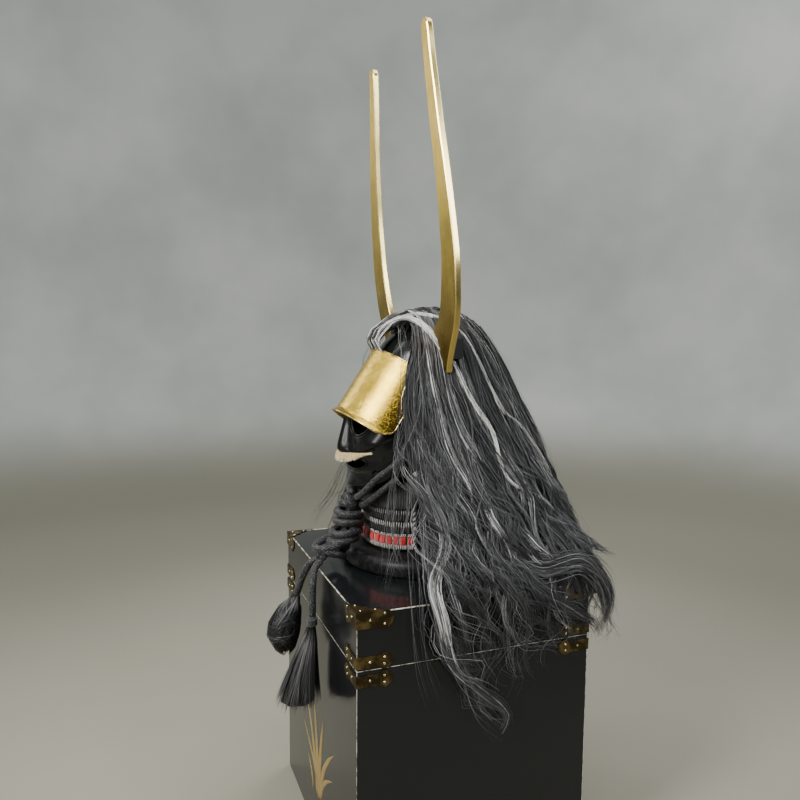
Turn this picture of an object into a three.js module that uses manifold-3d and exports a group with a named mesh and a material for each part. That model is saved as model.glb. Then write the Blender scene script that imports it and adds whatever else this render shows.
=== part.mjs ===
// A kabuto helmet with gilded horns, gilded visor, face mask, laced throat guard and long hair,
// shown on the lid of its lacquered armour box. Millimetres, +Z up, the face looks to -Y, and the
// wearer's left is +X. The origin is the middle of the underside of the box.
import * as THREE from 'three';
import { ConvexGeometry } from 'three/addons/geometries/ConvexGeometry.js';
import { mergeVertices } from 'three/addons/utils/BufferGeometryUtils.js';
import Module from 'manifold-3d';

const wasm = await Module();
wasm.setup();

// ---------------------------------------------------------------- driving dimensions

const GAP = 0.3; // between pieces that touch
const BOX_WIDTH = 445; // along X
const BOX_DEPTH = 386; // along Y
const BOX_BODY_HEIGHT = 395;
const LID_HEIGHT = 85;
const BOARD = 9; // thickness of the lacquered boards
const LIP_RISE = 14; // inner lip of the body that locates the lid
const LIP_THICK = 5;
const EDGE_CHAMFER = 1;
const LID_TOP = BOX_BODY_HEIGHT + LID_HEIGHT;

const FITTING_THICK = 1.2;
const STRAP_LENGTH = 57;
const STRAP_HEIGHT = 17.5;
const CAP_HEIGHT = 24;
const CAP_TOP_LEG = 44;

// The helmet stands on the lid, and its heights below are counted from the top of the lid.
const BOWL = { y: 10, halfWidth: 95, front: 106, back: 115, rim: 300, height: 107, skirt: 15, roundness: 2.3 };
const BOWL_THICK = 2.5;

const VISOR = { radius: 92, thick: 2.5, topY: -90, topZ: 364, lean: THREE.MathUtils.degToRad(33.3) };
const VISOR_LIP = 5; // how far the lower lip flares
const HORN_THICK = 10;
const LAME_THICK = 2;
const CHIN_CORD = 11; // diameter of the two strands over each cheek
const ROPE = 12.5; // diameter of the knotted rope

// ---------------------------------------------------------------- colours

const finish = (color, roughness, metalness = 0) => new THREE.MeshStandardMaterial({ color, roughness, metalness });
const BLACK_LACQUER = [0x0d0f10, 0.18];
const BRASS = [0x6e5f3a, 0.45, 1];
const GOLD_LEAF = [0xc9a24a, 0.3, 1];
const DARK_STEEL = [0x202224, 0.5, 1];
const BLACK_LACING = [0x17181a, 0.8];
const RED_LACING = [0xd23a3c, 0.8];
const BLACK_CORD = [0x1b1c1f, 0.85];
const GREY_HAIR = [0x3c3e42, 0.6];
const PALE_BRISTLE = [0xe6cd98, 0.7];
const BLACK_STAND = [0x0c0c0d, 0.4];

// ---------------------------------------------------------------- solids

const vector = (x, y, z) => new THREE.Vector3(x, y, z);
const lerp = THREE.MathUtils.lerp;

/** Six times the volume that a geometry's triangles enclose, negative when they face inwards. */
function signedVolume(geometry) {
  const p = geometry.attributes.position;
  const [a, b, c] = [vector(), vector(), vector()];
  let sum = 0;
  for (let i = 0; i < geometry.index.count; i += 3) {
    a.fromBufferAttribute(p, geometry.index.getX(i));
    b.fromBufferAttribute(p, geometry.index.getX(i + 1));
    c.fromBufferAttribute(p, geometry.index.getX(i + 2));
    sum += a.dot(b.cross(c));
  }
  return sum;
}

/** Merged vertices and outward faces, so that a geometry is one closed body. */
function closed(geometry) {
  geometry.deleteAttribute('normal');
  geometry.deleteAttribute('uv');
  const merged = mergeVertices(geometry, 1e-4);
  if (signedVolume(merged) < 0) {
    const index = merged.index;
    for (let i = 0; i < index.count; i += 3) {
      const keep = index.getX(i);
      index.setX(i, index.getX(i + 1));
      index.setX(i + 1, keep);
    }
  }
  return merged;
}

function solid(geometry) {
  const body = closed(geometry);
  const vertProperties = new Float32Array(body.attributes.position.array);
  const triVerts = new Uint32Array(body.index.array);
  return new wasm.Manifold(new wasm.Mesh({ numProp: 3, vertProperties, triVerts }));
}

function geometryOf(manifold) {
  const mesh = manifold.getMesh();
  const geometry = new THREE.BufferGeometry();
  geometry.setAttribute('position', new THREE.BufferAttribute(new Float32Array(mesh.vertProperties), 3));
  geometry.setIndex(new THREE.BufferAttribute(new Uint32Array(mesh.triVerts), 1));
  return geometry;
}

const joined = (solids) => solids.reduce((whole, next) => whole.add(next));
const cutBy = (body, cutters) => cutters.reduce((rest, next) => rest.subtract(next), body);

/** A skin through rings of equal point counts, closed at both ends by a fan. */
function loft(rings) {
  const count = rings[0].length;
  const points = rings.flat();
  const index = [];
  for (let r = 0; r + 1 < rings.length; r += 1) {
    for (let k = 0; k < count; k += 1) {
      const [a, b] = [r * count + k, r * count + ((k + 1) % count)];
      index.push(a, b, a + count, b, b + count, a + count);
    }
  }
  for (const [ring, turned] of [[0, true], [rings.length - 1, false]]) {
    const centre = rings[ring].reduce((sum, p) => sum.add(p), vector()).divideScalar(count);
    const middle = points.push(centre) - 1;
    for (let k = 0; k < count; k += 1) {
      const [a, b] = [ring * count + k, ring * count + ((k + 1) % count)];
      index.push(...(turned ? [middle, b, a] : [middle, a, b]));
    }
  }
  const geometry = new THREE.BufferGeometry().setFromPoints(points);
  geometry.setIndex(index);
  return geometry;
}

/** A wall between an outer and an inner grid of points, with its four edges closed. */
function wall(columns, rows, outer, inner) {
  const rings = [];
  for (let c = 0; c <= columns; c += 1) {
    const ring = [];
    for (let r = 0; r <= rows; r += 1) ring.push(outer(c / columns, r / rows));
    for (let r = rows; r >= 0; r -= 1) ring.push(inner(c / columns, r / rows));
    rings.push(ring);
  }
  const count = 2 * (rows + 1);
  const points = rings.flat();
  const index = [];
  for (let c = 0; c < columns; c += 1) {
    for (let k = 0; k < count; k += 1) {
      const [a, b] = [c * count + k, c * count + ((k + 1) % count)];
      index.push(a, b, a + count, b, b + count, a + count);
    }
  }
  for (const [base, turned] of [[0, true], [columns * count, false]]) {
    for (let r = 0; r < rows; r += 1) {
      const [a, b] = [base + r, base + r + 1];
      const [d, e] = [base + count - 1 - r, base + count - 2 - r];
      index.push(...(turned ? [a, d, b, b, d, e] : [a, b, d, b, e, d]));
    }
  }
  const geometry = new THREE.BufferGeometry().setFromPoints(points);
  geometry.setIndex(index);
  return geometry;
}

/** A box from its low to its high corner, with all edges chamfered. */
function chamferedBox(low, high, chamfer) {
  const points = [];
  for (const x of [0, 1]) {
    for (const y of [0, 1]) {
      for (const z of [0, 1]) {
        const corner = [x ? high[0] : low[0], y ? high[1] : low[1], z ? high[2] : low[2]];
        const inward = [x ? -chamfer : chamfer, y ? -chamfer : chamfer, z ? -chamfer : chamfer];
        for (const kept of [0, 1, 2]) {
          const [px, py, pz] = corner.map((value, axis) => value + (axis === kept ? 0 : inward[axis]));
          points.push(vector(px, py, pz));
        }
      }
    }
  }
  return new ConvexGeometry(points);
}

function plainBox(low, high) {
  const box = new THREE.BoxGeometry(high[0] - low[0], high[1] - low[1], high[2] - low[2]);
  return box.translate((high[0] + low[0]) / 2, (high[1] + low[1]) / 2, (high[2] + low[2]) / 2);
}

/** A round cord of one diameter along a smooth curve. */
function cord(points, diameter, sides = 8) {
  const path = new THREE.CatmullRomCurve3(points.map((p) => vector(...p)), false, 'centripetal');
  const section = new THREE.Shape();
  for (let k = 0; k < sides; k += 1) {
    const angle = (2 * Math.PI * k) / sides;
    const [u, v] = [Math.cos(angle) * (diameter / 2), Math.sin(angle) * (diameter / 2)];
    if (k === 0) section.moveTo(u, v);
    else section.lineTo(u, v);
  }
  const steps = Math.max(4, Math.round(path.getLength() / (2.8 * diameter)) + 3);
  return new THREE.ExtrudeGeometry(section, { steps, extrudePath: path });
}

const mirrored = (geometry) => closed(geometry.clone().applyMatrix4(new THREE.Matrix4().makeScale(-1, 1, 1)));
const mirroredPoints = (points) => points.map(([x, y, z]) => [-x, y, z]);

// ---------------------------------------------------------------- armour box

const boxHalf = [BOX_WIDTH / 2, BOX_DEPTH / 2];

/** A box as wide and deep as the armour box less an inset on all four sides. */
const inset = (by, low, high, chamfer = 0) => {
  const [x, y] = [boxHalf[0] - by, boxHalf[1] - by];
  const make = chamfer ? chamferedBox : plainBox;
  return solid(make([-x, -y, low], [x, y, high], chamfer));
};

function boxBody() {
  const shoulder = BOX_BODY_HEIGHT - GAP;
  const outer = inset(0, 0, shoulder, EDGE_CHAMFER);
  const lip = inset(BOARD + GAP, BOARD, shoulder + LIP_RISE);
  return outer.add(lip).subtract(inset(BOARD + GAP + LIP_THICK, BOARD, shoulder + 2 * LIP_RISE));
}

function boxLid() {
  return inset(0, BOX_BODY_HEIGHT, LID_TOP, EDGE_CHAMFER).subtract(inset(BOARD, 0, LID_TOP - BOARD));
}

// Half outline of a strap's free end: the share of its length, and of half its height.
const LOBED_END = [
  { along: 0.63, across: 1.0 },
  { along: 0.69, across: 1.4 },
  { along: 0.78, across: 1.45 },
  { along: 0.86, across: 1.05 },
  { along: 0.95, across: 0.7 },
];

function strapOutline(length, height) {
  const half = height / 2;
  const upper = LOBED_END.map(({ along, across }) => [along * length, Math.min(across * half, half + 4.2)]);
  const shape = new THREE.Shape();
  shape.moveTo(0, -half);
  for (const [u, v] of upper) shape.lineTo(u, -v);
  shape.lineTo(length, 0);
  for (const [u, v] of upper.reverse()) shape.lineTo(u, v);
  shape.lineTo(0, half);
  return shape;
}

/** A flat plate of an outline, laid with its first axis, second axis and outward side as given. */
function plate(shape, origin, first, second, outward) {
  const geometry = new THREE.ExtrudeGeometry(shape, { depth: FITTING_THICK, bevelEnabled: false });
  const place = new THREE.Matrix4().makeBasis(vector(...first), vector(...second), vector(...outward));
  return solid(geometry.applyMatrix4(place.setPosition(...origin)));
}

/** An L-shaped strap round the front left corner, at a height. */
function strap(z, height) {
  const [x, y] = [boxHalf[0] + GAP, -boxHalf[1] - GAP];
  const outline = () => strapOutline(STRAP_LENGTH, height);
  const side = plate(outline(), [x, y - FITTING_THICK, z], [0, 1, 0], [0, 0, 1], [1, 0, 0]);
  const front = plate(outline(), [x + FITTING_THICK, y, z], [-1, 0, 0], [0, 0, 1], [0, -1, 0]);
  return side.add(front);
}

/** A corner cap: a strap on each side and a scalloped plate on the lid. */
function cornerCap() {
  const top = LID_TOP + GAP;
  const [x, y] = [boxHalf[0] + GAP + FITTING_THICK, -boxHalf[1] - GAP - FITTING_THICK];
  const shape = new THREE.Shape();
  shape.moveTo(0, 0);
  shape.lineTo(CAP_TOP_LEG, 0);
  for (const share of [0.05, 0.2, 0.35, 0.5, 0.65, 0.8, 0.95]) {
    const scallop = 1 + 0.16 * Math.abs(Math.sin(share * 3 * Math.PI));
    const reach = (CAP_TOP_LEG * 0.86) * scallop;
    shape.lineTo(reach * (1 - share), reach * share);
  }
  shape.lineTo(0, CAP_TOP_LEG);
  const cover = plate(shape, [x, y, top], [-1, 0, 0], [0, 1, 0], [0, 0, 1]);
  const sides = strap(top + FITTING_THICK - CAP_HEIGHT / 2, CAP_HEIGHT);
  const trimmed = sides.subtract(solid(plainBox([-400, -400, top + FITTING_THICK], [400, 400, top + 40])));
  return cover.add(trimmed);
}

/** The four copies of a fitting made for the front left corner. */
function atFourCorners(name, fitting) {
  const copies = [];
  for (const [side, sx] of [['left', 1], ['right', -1]]) {
    for (const [end, sy] of [['front', 1], ['back', -1]]) {
      const copy = geometryOf(fitting).applyMatrix4(new THREE.Matrix4().makeScale(sx, sy, 1));
      copies.push([`${name}_${end}_${side}`, copy]);
    }
  }
  return copies;
}

// ---------------------------------------------------------------- helmet bowl

/** A ring of the bowl's plan: share of its full size, height, and an offset outwards. */
function bowlRing(share, z, offset, count = 18) {
  const ring = [];
  for (let k = 0; k < count; k += 1) {
    const angle = (2 * Math.PI * k) / count;
    const depth = Math.sin(angle) > 0 ? BOWL.back : BOWL.front;
    const x = (BOWL.halfWidth * share + offset) * Math.cos(angle);
    const y = BOWL.y + (depth * share + offset) * Math.sin(angle);
    ring.push(vector(x, y, z));
  }
  return ring;
}

/** Rings of the bowl from its skirt to its crown, moved outwards by an offset. */
function bowlRings(offset) {
  const rings = [bowlRing(1, BOWL.rim - BOWL.skirt, offset)];
  for (const lift of [0, 0.3, 0.55, 0.75, 0.9, 0.975]) {
    const share = (1 - lift ** BOWL.roundness) ** (1 / BOWL.roundness);
    rings.push(bowlRing(share, BOWL.rim + lift * (BOWL.height + offset), offset * share));
  }
  rings.push(bowlRing(0.06, BOWL.rim + BOWL.height + offset, 0));
  return rings;
}

const bowlWall = (inner, outer) => loft([...bowlRings(inner).reverse(), ...bowlRings(outer)]);
const bowlFilled = (offset) => loft(bowlRings(offset));

// ---------------------------------------------------------------- visor

const visorDown = vector(0, -Math.sin(VISOR.lean), -Math.cos(VISOR.lean));
const visorOut = vector(0, -Math.cos(VISOR.lean), Math.sin(VISOR.lean));

// Half the angle that the visor wraps, at distances down from its top edge.
const VISOR_EDGE = [
  { down: 0, wrap: 60 },
  { down: 14, wrap: 61 },
  { down: 36, wrap: 63 },
  { down: 54, wrap: 66 },
  { down: 66, wrap: 70 },
  { down: 72, wrap: 73 },
  { down: 75, wrap: 77 },
  { down: 104, wrap: 77.5 },
  { down: 112, wrap: 75.5 },
  { down: 117, wrap: 71 },
  { down: 122, wrap: 62 },
];

function visorPoint(angle, down, inward) {
  const flare = VISOR_LIP * Math.max(0, (down - 112) / 10) ** 1.6;
  const radius = VISOR.radius - inward + flare;
  const centre = vector(0, VISOR.topY, VISOR.topZ).addScaledVector(visorOut, -VISOR.radius);
  centre.addScaledVector(visorDown, down);
  centre.addScaledVector(visorOut, radius * Math.cos(angle));
  centre.x = radius * Math.sin(angle);
  return centre;
}

/** The curved plate, with its rear edges cut back in a hollow and drawn out in a spur. */
function visorPlate() {
  const wrapAt = (row) => VISOR_EDGE[Math.round(row * (VISOR_EDGE.length - 1))];
  const place = (inward) => (column, row) => {
    const { down, wrap } = wrapAt(row);
    return visorPoint(THREE.MathUtils.degToRad(lerp(-wrap, wrap, column)), down, inward);
  };
  return solid(wall(12, VISOR_EDGE.length - 1, place(0), place(VISOR.thick)));
}

/** The flange that turns in from the visor's top edge to the bowl, less what the bowl takes. */
function visorFlange() {
  const rings = [0.2, 2.7].map((down) => {
    const ring = [];
    for (let k = 0; k <= 8; k += 1) {
      const angle = THREE.MathUtils.degToRad(lerp(-59.5, 59.5, k / 8));
      ring.push(visorPoint(angle, down, 1));
    }
    ring.push(visorPoint(0, down, VISOR.radius * 0.62));
    return ring;
  });
  return solid(loft(rings)).subtract(solid(bowlFilled(GAP + 0.1)));
}

// ---------------------------------------------------------------- horns

// Each horn is a flat plate that faces forward: inner and outer edge, and its front face's Y.
const HORN = [
  { z: 331, inner: 121, outer: 124 },
  { z: 345, inner: 111, outer: 129 },
  { z: 367, inner: 95, outer: 141 },
  { z: 388, inner: 82, outer: 154 },
  { z: 400, inner: 87, outer: 161 },
  { z: 418, inner: 107, outer: 168 },
  { z: 443, inner: 119, outer: 175 },
  { z: 500, inner: 132, outer: 181.5 },
  { z: 600, inner: 134, outer: 173 },
  { z: 700, inner: 125, outer: 157 },
  { z: 800, inner: 113, outer: 139 },
  { z: 840, inner: 109.5, outer: 134 },
  { z: 850, inner: 111, outer: 131.5 },
  { z: 856, inner: 115, outer: 127 },
];
const HORN_LEAN = [
  { z: 331, front: -15 },
  { z: 450, front: -26 },
  { z: 600, front: -40 },
  { z: 700, front: -49 },
  { z: 856, front: -59.5 },
];

function between(table, key, z) {
  const after = Math.max(1, table.findIndex((row) => row.z >= z));
  const [a, b] = [table[after - 1], table[after]];
  return lerp(a[key], b[key], THREE.MathUtils.clamp((z - a.z) / (b.z - a.z), 0, 1));
}

/** A horn, grown on all sides by a margin. */
function hornPlate(margin = 0) {
  const bevel = 1.2;
  const rings = HORN.map(({ z, inner, outer }, row) => {
    const front = between(HORN_LEAN, 'front', z) - margin;
    const back = front + HORN_THICK + 2 * margin;
    const [x0, x1] = [inner - margin, outer + margin];
    const end = row === 0 ? -margin : row === HORN.length - 1 ? margin : 0;
    const corners = [
      [x0 + bevel, front], [x1 - bevel, front], [x1, front + bevel], [x1, back - bevel],
      [x1 - bevel, back], [x0 + bevel, back], [x0, back - bevel], [x0, front + bevel],
    ];
    return corners.map(([x, y]) => vector(x, y, z + end));
  });
  return solid(loft(rings));
}

/** The steel socket that carries a horn on the side of the bowl, grown by a margin. */
function hornSocket(margin = 0) {
  const low = [58, -4 - margin, 352 - margin];
  const high = [122 + margin, 14 + margin, 384 + margin];
  const block = solid(plainBox(low, high));
  return cutBy(block, [solid(bowlFilled(GAP - margin)), hornPlate(GAP - margin)]);
}

// ---------------------------------------------------------------- face mask

// Levels of the mask from under the jaw to the nose bridge: height and Y at the middle,
// height and Y at the rear edge, half width, and how square its plan is.
const MASK = [
  { z: 127, y: -111, rearZ: 161, rearY: -46, width: 78, square: 2.0 },
  { z: 129.5, y: -128, rearZ: 162, rearY: -45, width: 80, square: 1.75 },
  { z: 137, y: -135.5, rearZ: 167, rearY: -44, width: 83, square: 1.75 },
  { z: 148, y: -133, rearZ: 176, rearY: -43, width: 85, square: 1.9 },
  { z: 158, y: -132, rearZ: 183, rearY: -43, width: 87, square: 2.0 },
  { z: 165, y: -134, rearZ: 188, rearY: -42, width: 88, square: 2.05 },
  { z: 177, y: -132, rearZ: 197, rearY: -42, width: 89, square: 2.1 },
  { z: 188, y: -137, rearZ: 205, rearY: -42, width: 90, square: 2.1 },
  { z: 199, y: -138, rearZ: 213, rearY: -42, width: 91, square: 2.15 },
  { z: 211, y: -137, rearZ: 222, rearY: -42, width: 91, square: 2.2 },
  { z: 224, y: -136, rearZ: 232, rearY: -42, width: 91, square: 2.2 },
  { z: 238, y: -135, rearZ: 243, rearY: -42, width: 89.5, square: 2.2 },
  { z: 251, y: -135, rearZ: 251, rearY: -42, width: 88, square: 2.2 },
];
const MASK_THICK = 2.4;

// How far the nose stands out of the face, and half its width, at heights.
const NOSE = [
  { z: 120, out: 0, half: 14 },
  { z: 183, out: 0, half: 17 },
  { z: 189, out: 11, half: 18 },
  { z: 197, out: 18.5, half: 18 },
  { z: 211, out: 19, half: 14 },
  { z: 237, out: 14, half: 10 },
  { z: 252, out: 10.5, half: 9 },
];

function maskPoint(column, row, inward) {
  const place = row * (MASK.length - 1);
  const low = Math.min(Math.floor(place), MASK.length - 2);
  const share = place - low;
  const at = (key) => lerp(MASK[low][key], MASK[low + 1][key], share);
  const angle = lerp(-Math.PI / 2, Math.PI / 2, column);
  const power = 2 / at('square');
  const side = Math.sign(angle) * Math.abs(Math.sin(angle)) ** power;
  const ahead = Math.cos(angle) ** power;
  const x = (at('width') - inward) * side;
  const z = lerp(at('z'), at('rearZ'), 1 - ahead);
  const nose = between(NOSE, 'out', z) * Math.exp(-((x / between(NOSE, 'half', z)) ** 2) * 1.2);
  const cheek = 5 * Math.exp(-(((Math.abs(x) - 52) / 20) ** 2) - ((z - 214) / 13) ** 2);
  const y = at('rearY') + inward - (at('rearY') - at('y')) * ahead - nose - cheek;
  return vector(x, y, z);
}

function maskWall(inner, outer) {
  const place = (inward) => (column, row) => maskPoint(column, row, inward);
  return solid(wall(16, 12, place(-outer), place(inner)));
}

/** A prism along Y with an outline in X and Z. */
function prismAlongY(outline, near, far) {
  const rings = [near, far].map((y) => outline.map(([x, z]) => vector(x, y, z)));
  return solid(loft(rings));
}

const EYE_CUT = [[13, 262], [15, 240], [21, 229], [32, 224], [44, 227], [54, 238], [60, 262]];
const MOUTH_CUT = [[-46, 179], [-36, 170], [-16, 167], [16, 167], [36, 170], [46, 179], [30, 186], [-30, 186]];
const NOSTRIL = { x: 10, y: -149, z: 190, radius: 5 };

function mask() {
  const nostril = (side) => {
    const ball = new THREE.SphereGeometry(NOSTRIL.radius, 8, 5);
    return solid(ball.scale(1, 1.3, 1).translate(side * NOSTRIL.x, NOSTRIL.y, NOSTRIL.z));
  };
  const cutters = [
    prismAlongY(EYE_CUT, -200, -80),
    prismAlongY(EYE_CUT.map(([x, z]) => [-x, z]), -200, -80),
    prismAlongY(MOUTH_CUT, -200, -90),
    nostril(1),
    nostril(-1),
  ];
  return cutBy(maskWall(MASK_THICK, 0), cutters);
}

// The moustache's sections from its middle to one end.
const MOUSTACHE = [
  { x: 0, y: -150, z: 187, tall: 13, deep: 14 },
  { x: 16, y: -148, z: 188, tall: 13, deep: 13 },
  { x: 32, y: -142.5, z: 190, tall: 12, deep: 11 },
  { x: 46, y: -135, z: 193, tall: 9, deep: 8 },
  { x: 57, y: -127.5, z: 196, tall: 5, deep: 5 },
  { x: 62, y: -123.5, z: 197.5, tall: 1.5, deep: 2 },
];

/** Bristles set along the upper lip, in tufts that fan down and outwards, less what the mask takes. */
function moustache() {
  const half = [...MOUSTACHE].reverse().map((row) => ({ ...row, x: -row.x }));
  const rings = [...half, ...MOUSTACHE.slice(1)].map(({ x, y, z, tall, deep }) => {
    const ring = [];
    for (let k = 0; k < 10; k += 1) {
      const angle = (2 * Math.PI * k) / 10;
      ring.push(vector(x, y + (deep / 2) * Math.cos(angle), z + (tall / 2) * Math.sin(angle)));
    }
    return ring;
  });
  const behind = maskWall(60, GAP);
  return solid(loft(rings)).subtract(behind);
}

// ---------------------------------------------------------------- laced guards

// Throat guard: lames from the jaw down. Heights of the two edges.
const THROAT = { width: 80, front: -106, rear: -46, square: 2.3, tuck: 2.9 };
const THROAT_LAMES = [
  { top: 126, rearTop: 159, bottom: 104 },
  { top: 107, rearTop: 107, bottom: 84 },
  { top: 87, rearTop: 87, bottom: 64 },
  { top: 67, rearTop: 67, bottom: 37 },
];

function throatLame({ top, rearTop, bottom }) {
  const place = (inward) => (column, row) => {
    const angle = Math.PI * column;
    const power = 2 / THROAT.square;
    const side = Math.sign(Math.cos(angle)) * Math.abs(Math.cos(angle)) ** power;
    const ahead = Math.sin(angle) ** power;
    const offset = -THROAT.tuck * row - inward;
    const z = lerp(bottom, lerp(rearTop, top, ahead), row);
    return vector((THROAT.width + offset) * side, THROAT.rear + (THROAT.front - THROAT.rear - offset) * ahead, z);
  };
  return wall(16, 1, place(0), place(LAME_THICK));
}

// Neck guard: lames from the bowl's rim down, with their stand off the rim and where they end.
const NECK_LAMES = [
  { top: 292, bottom: 252, above: 4, below: 12, ends: -24 },
  { top: 255, bottom: 212, above: 8.8, below: 17, ends: -24 },
  { top: 215, bottom: 152, above: 13.6, below: 24, ends: -31 },
];

function neckLame({ top, bottom, above, below, ends }) {
  const place = (inward) => (column, row) => {
    const angle = THREE.MathUtils.degToRad(lerp(ends, 180 - ends, column));
    const offset = lerp(below, above, row) - inward;
    const depth = (Math.sin(angle) > 0 ? BOWL.back : BOWL.front) + offset;
    const x = (BOWL.halfWidth + offset) * Math.cos(angle);
    return vector(x, BOWL.y + depth * Math.sin(angle), lerp(bottom, top, row));
  };
  return wall(16, 1, place(0), place(LAME_THICK));
}

// ---------------------------------------------------------------- cords, knot and tassels

const CHIN_STRAND = [
  [9, -126, 117], [27, -127, 121], [50, -121, 138], [72, -109, 160], [91, -87, 184], [99, -72, 212],
  [98, -62, 245], [86, -54, 270], [81, -52, BOWL.rim - BOWL.skirt - GAP],
];
const INNER_STRAND = [
  [9, -117, 106], [26, -120, 106], [46, -113, 118], [66, -101, 136], [84, -82, 158],
];

// Wraps of the knot: centre, half sizes to the rope's middle, and tilts about X and Y in degrees.
const KNOT_WRAPS = [
  { y: -136, z: 113, x: 8, wide: 11, deep: 9, pitch: -42, roll: 12 },
  { y: -141, z: 104, x: 9, wide: 13, deep: 12, pitch: -24, roll: -8 },
  { y: -140, z: 92, x: 10, wide: 20, deep: 20, pitch: -4, roll: 4 },
  { y: -141, z: 77, x: 10, wide: 21, deep: 21, pitch: -2, roll: -3 },
  { y: -144, z: 62, x: 10, wide: 22, deep: 24, pitch: 10, roll: 3 },
  { y: -148, z: 47, x: 11, wide: 20, deep: 25, pitch: 8, roll: -4 },
];
const KNOT_LOOPS = [
  { y: -170, z: 43, x: 12, wide: 17, deep: 29, pitch: 14, roll: 10 },
  { y: -171, z: 25, x: 16, wide: 14, deep: 20, pitch: -20, roll: -14 },
];

function ropeRing({ x, y, z, wide, deep, pitch, roll }) {
  const rings = [];
  const [around, along] = [5, 8];
  for (let a = 0; a < along; a += 1) {
    const turn = (2 * Math.PI * a) / along;
    const outward = vector(Math.cos(turn) * deep, Math.sin(turn) * wide, 0).normalize();
    const centre = vector(Math.cos(turn) * wide, Math.sin(turn) * deep, 0);
    const ring = [];
    for (let k = 0; k < around; k += 1) {
      const angle = (2 * Math.PI * k) / around;
      const point = centre.clone().addScaledVector(outward, (ROPE / 2) * Math.cos(angle));
      point.z += (ROPE / 2) * Math.sin(angle);
      ring.push(point);
    }
    rings.push(ring);
  }
  const points = rings.flat();
  const index = [];
  for (let a = 0; a < along; a += 1) {
    for (let k = 0; k < around; k += 1) {
      const [here, next] = [a * around, ((a + 1) % along) * around];
      const [p, q] = [k, (k + 1) % around];
      index.push(here + p, here + q, next + p, here + q, next + q, next + p);
    }
  }
  const geometry = new THREE.BufferGeometry().setFromPoints(points);
  geometry.setIndex(index);
  const tilt = new THREE.Euler(THREE.MathUtils.degToRad(pitch), THREE.MathUtils.degToRad(roll), 0);
  return solid(geometry.applyMatrix4(new THREE.Matrix4().makeRotationFromEuler(tilt)).translate(x, y, z));
}

/** The wraps and loops round a core of the two strands, as one body. */
function knot(cutters) {
  const core = new THREE.CylinderGeometry(14, 16, 66, 6).rotateX(Math.PI / 2).translate(10, -142, 76);
  const whole = joined([solid(core), ...[...KNOT_WRAPS, ...KNOT_LOOPS].map(ropeRing)]);
  return cutBy(whole, cutters);
}

const CORD_END_LEFT = [
  [20, -190, 17], [27, -203, 6], [33, -208, -14], [37, -210, -36], [41, -211, -56], [42, -212, -70],
];
const CORD_END_RIGHT = [
  [6, -190, 17], [0, -205, 6], [-10, -212, -12], [-20, -216, -30], [-30, -218, -46], [-35, -220, -56],
];

/** Bristles of a tassel: rings down its length with a fluted outline, less at the cap. */
function bristles(rows, flutes, depth) {
  const count = flutes * 3;
  return loft(rows.map(({ x, y, z, radius }, row) => {
    const ring = [];
    const ripple = depth * (row / (rows.length - 1));
    for (let k = 0; k < count; k += 1) {
      const angle = (2 * Math.PI * k) / count;
      const flute = 1 - ripple * (k % 3 === 0 ? 1 : 0);
      ring.push(vector(x + radius * flute * Math.cos(angle), y + radius * flute * Math.sin(angle), z));
    }
    return ring;
  }));
}

// The left tassel hangs from a bound cap and fans out; the right one is tied up in a ball.
const TASSEL_LEFT = [
  { x: 42, y: -212, z: -72, radius: 7.5 },
  { x: 42, y: -212, z: -82, radius: 7.5 },
  { x: 42, y: -213, z: -86, radius: 7 },
  { x: 42, y: -216, z: -104, radius: 12 },
  { x: 42, y: -222, z: -132, radius: 19 },
  { x: 42, y: -230, z: -168, radius: 28 },
  { x: 42, y: -236, z: -200, radius: 37 },
  { x: 42, y: -237, z: -207, radius: 30 },
];
const TASSEL_RIGHT = [
  { x: -36, y: -220.5, z: -59.5, radius: 7 },
  { x: -37, y: -224, z: -68, radius: 10 },
  { x: -37, y: -232, z: -82, radius: 20 },
  { x: -37, y: -240, z: -105, radius: 27 },
  { x: -37, y: -243, z: -125, radius: 27 },
  { x: -37, y: -241, z: -145, radius: 19 },
  { x: -37, y: -239, z: -158, radius: 7 },
];

// ---------------------------------------------------------------- hair

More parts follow.
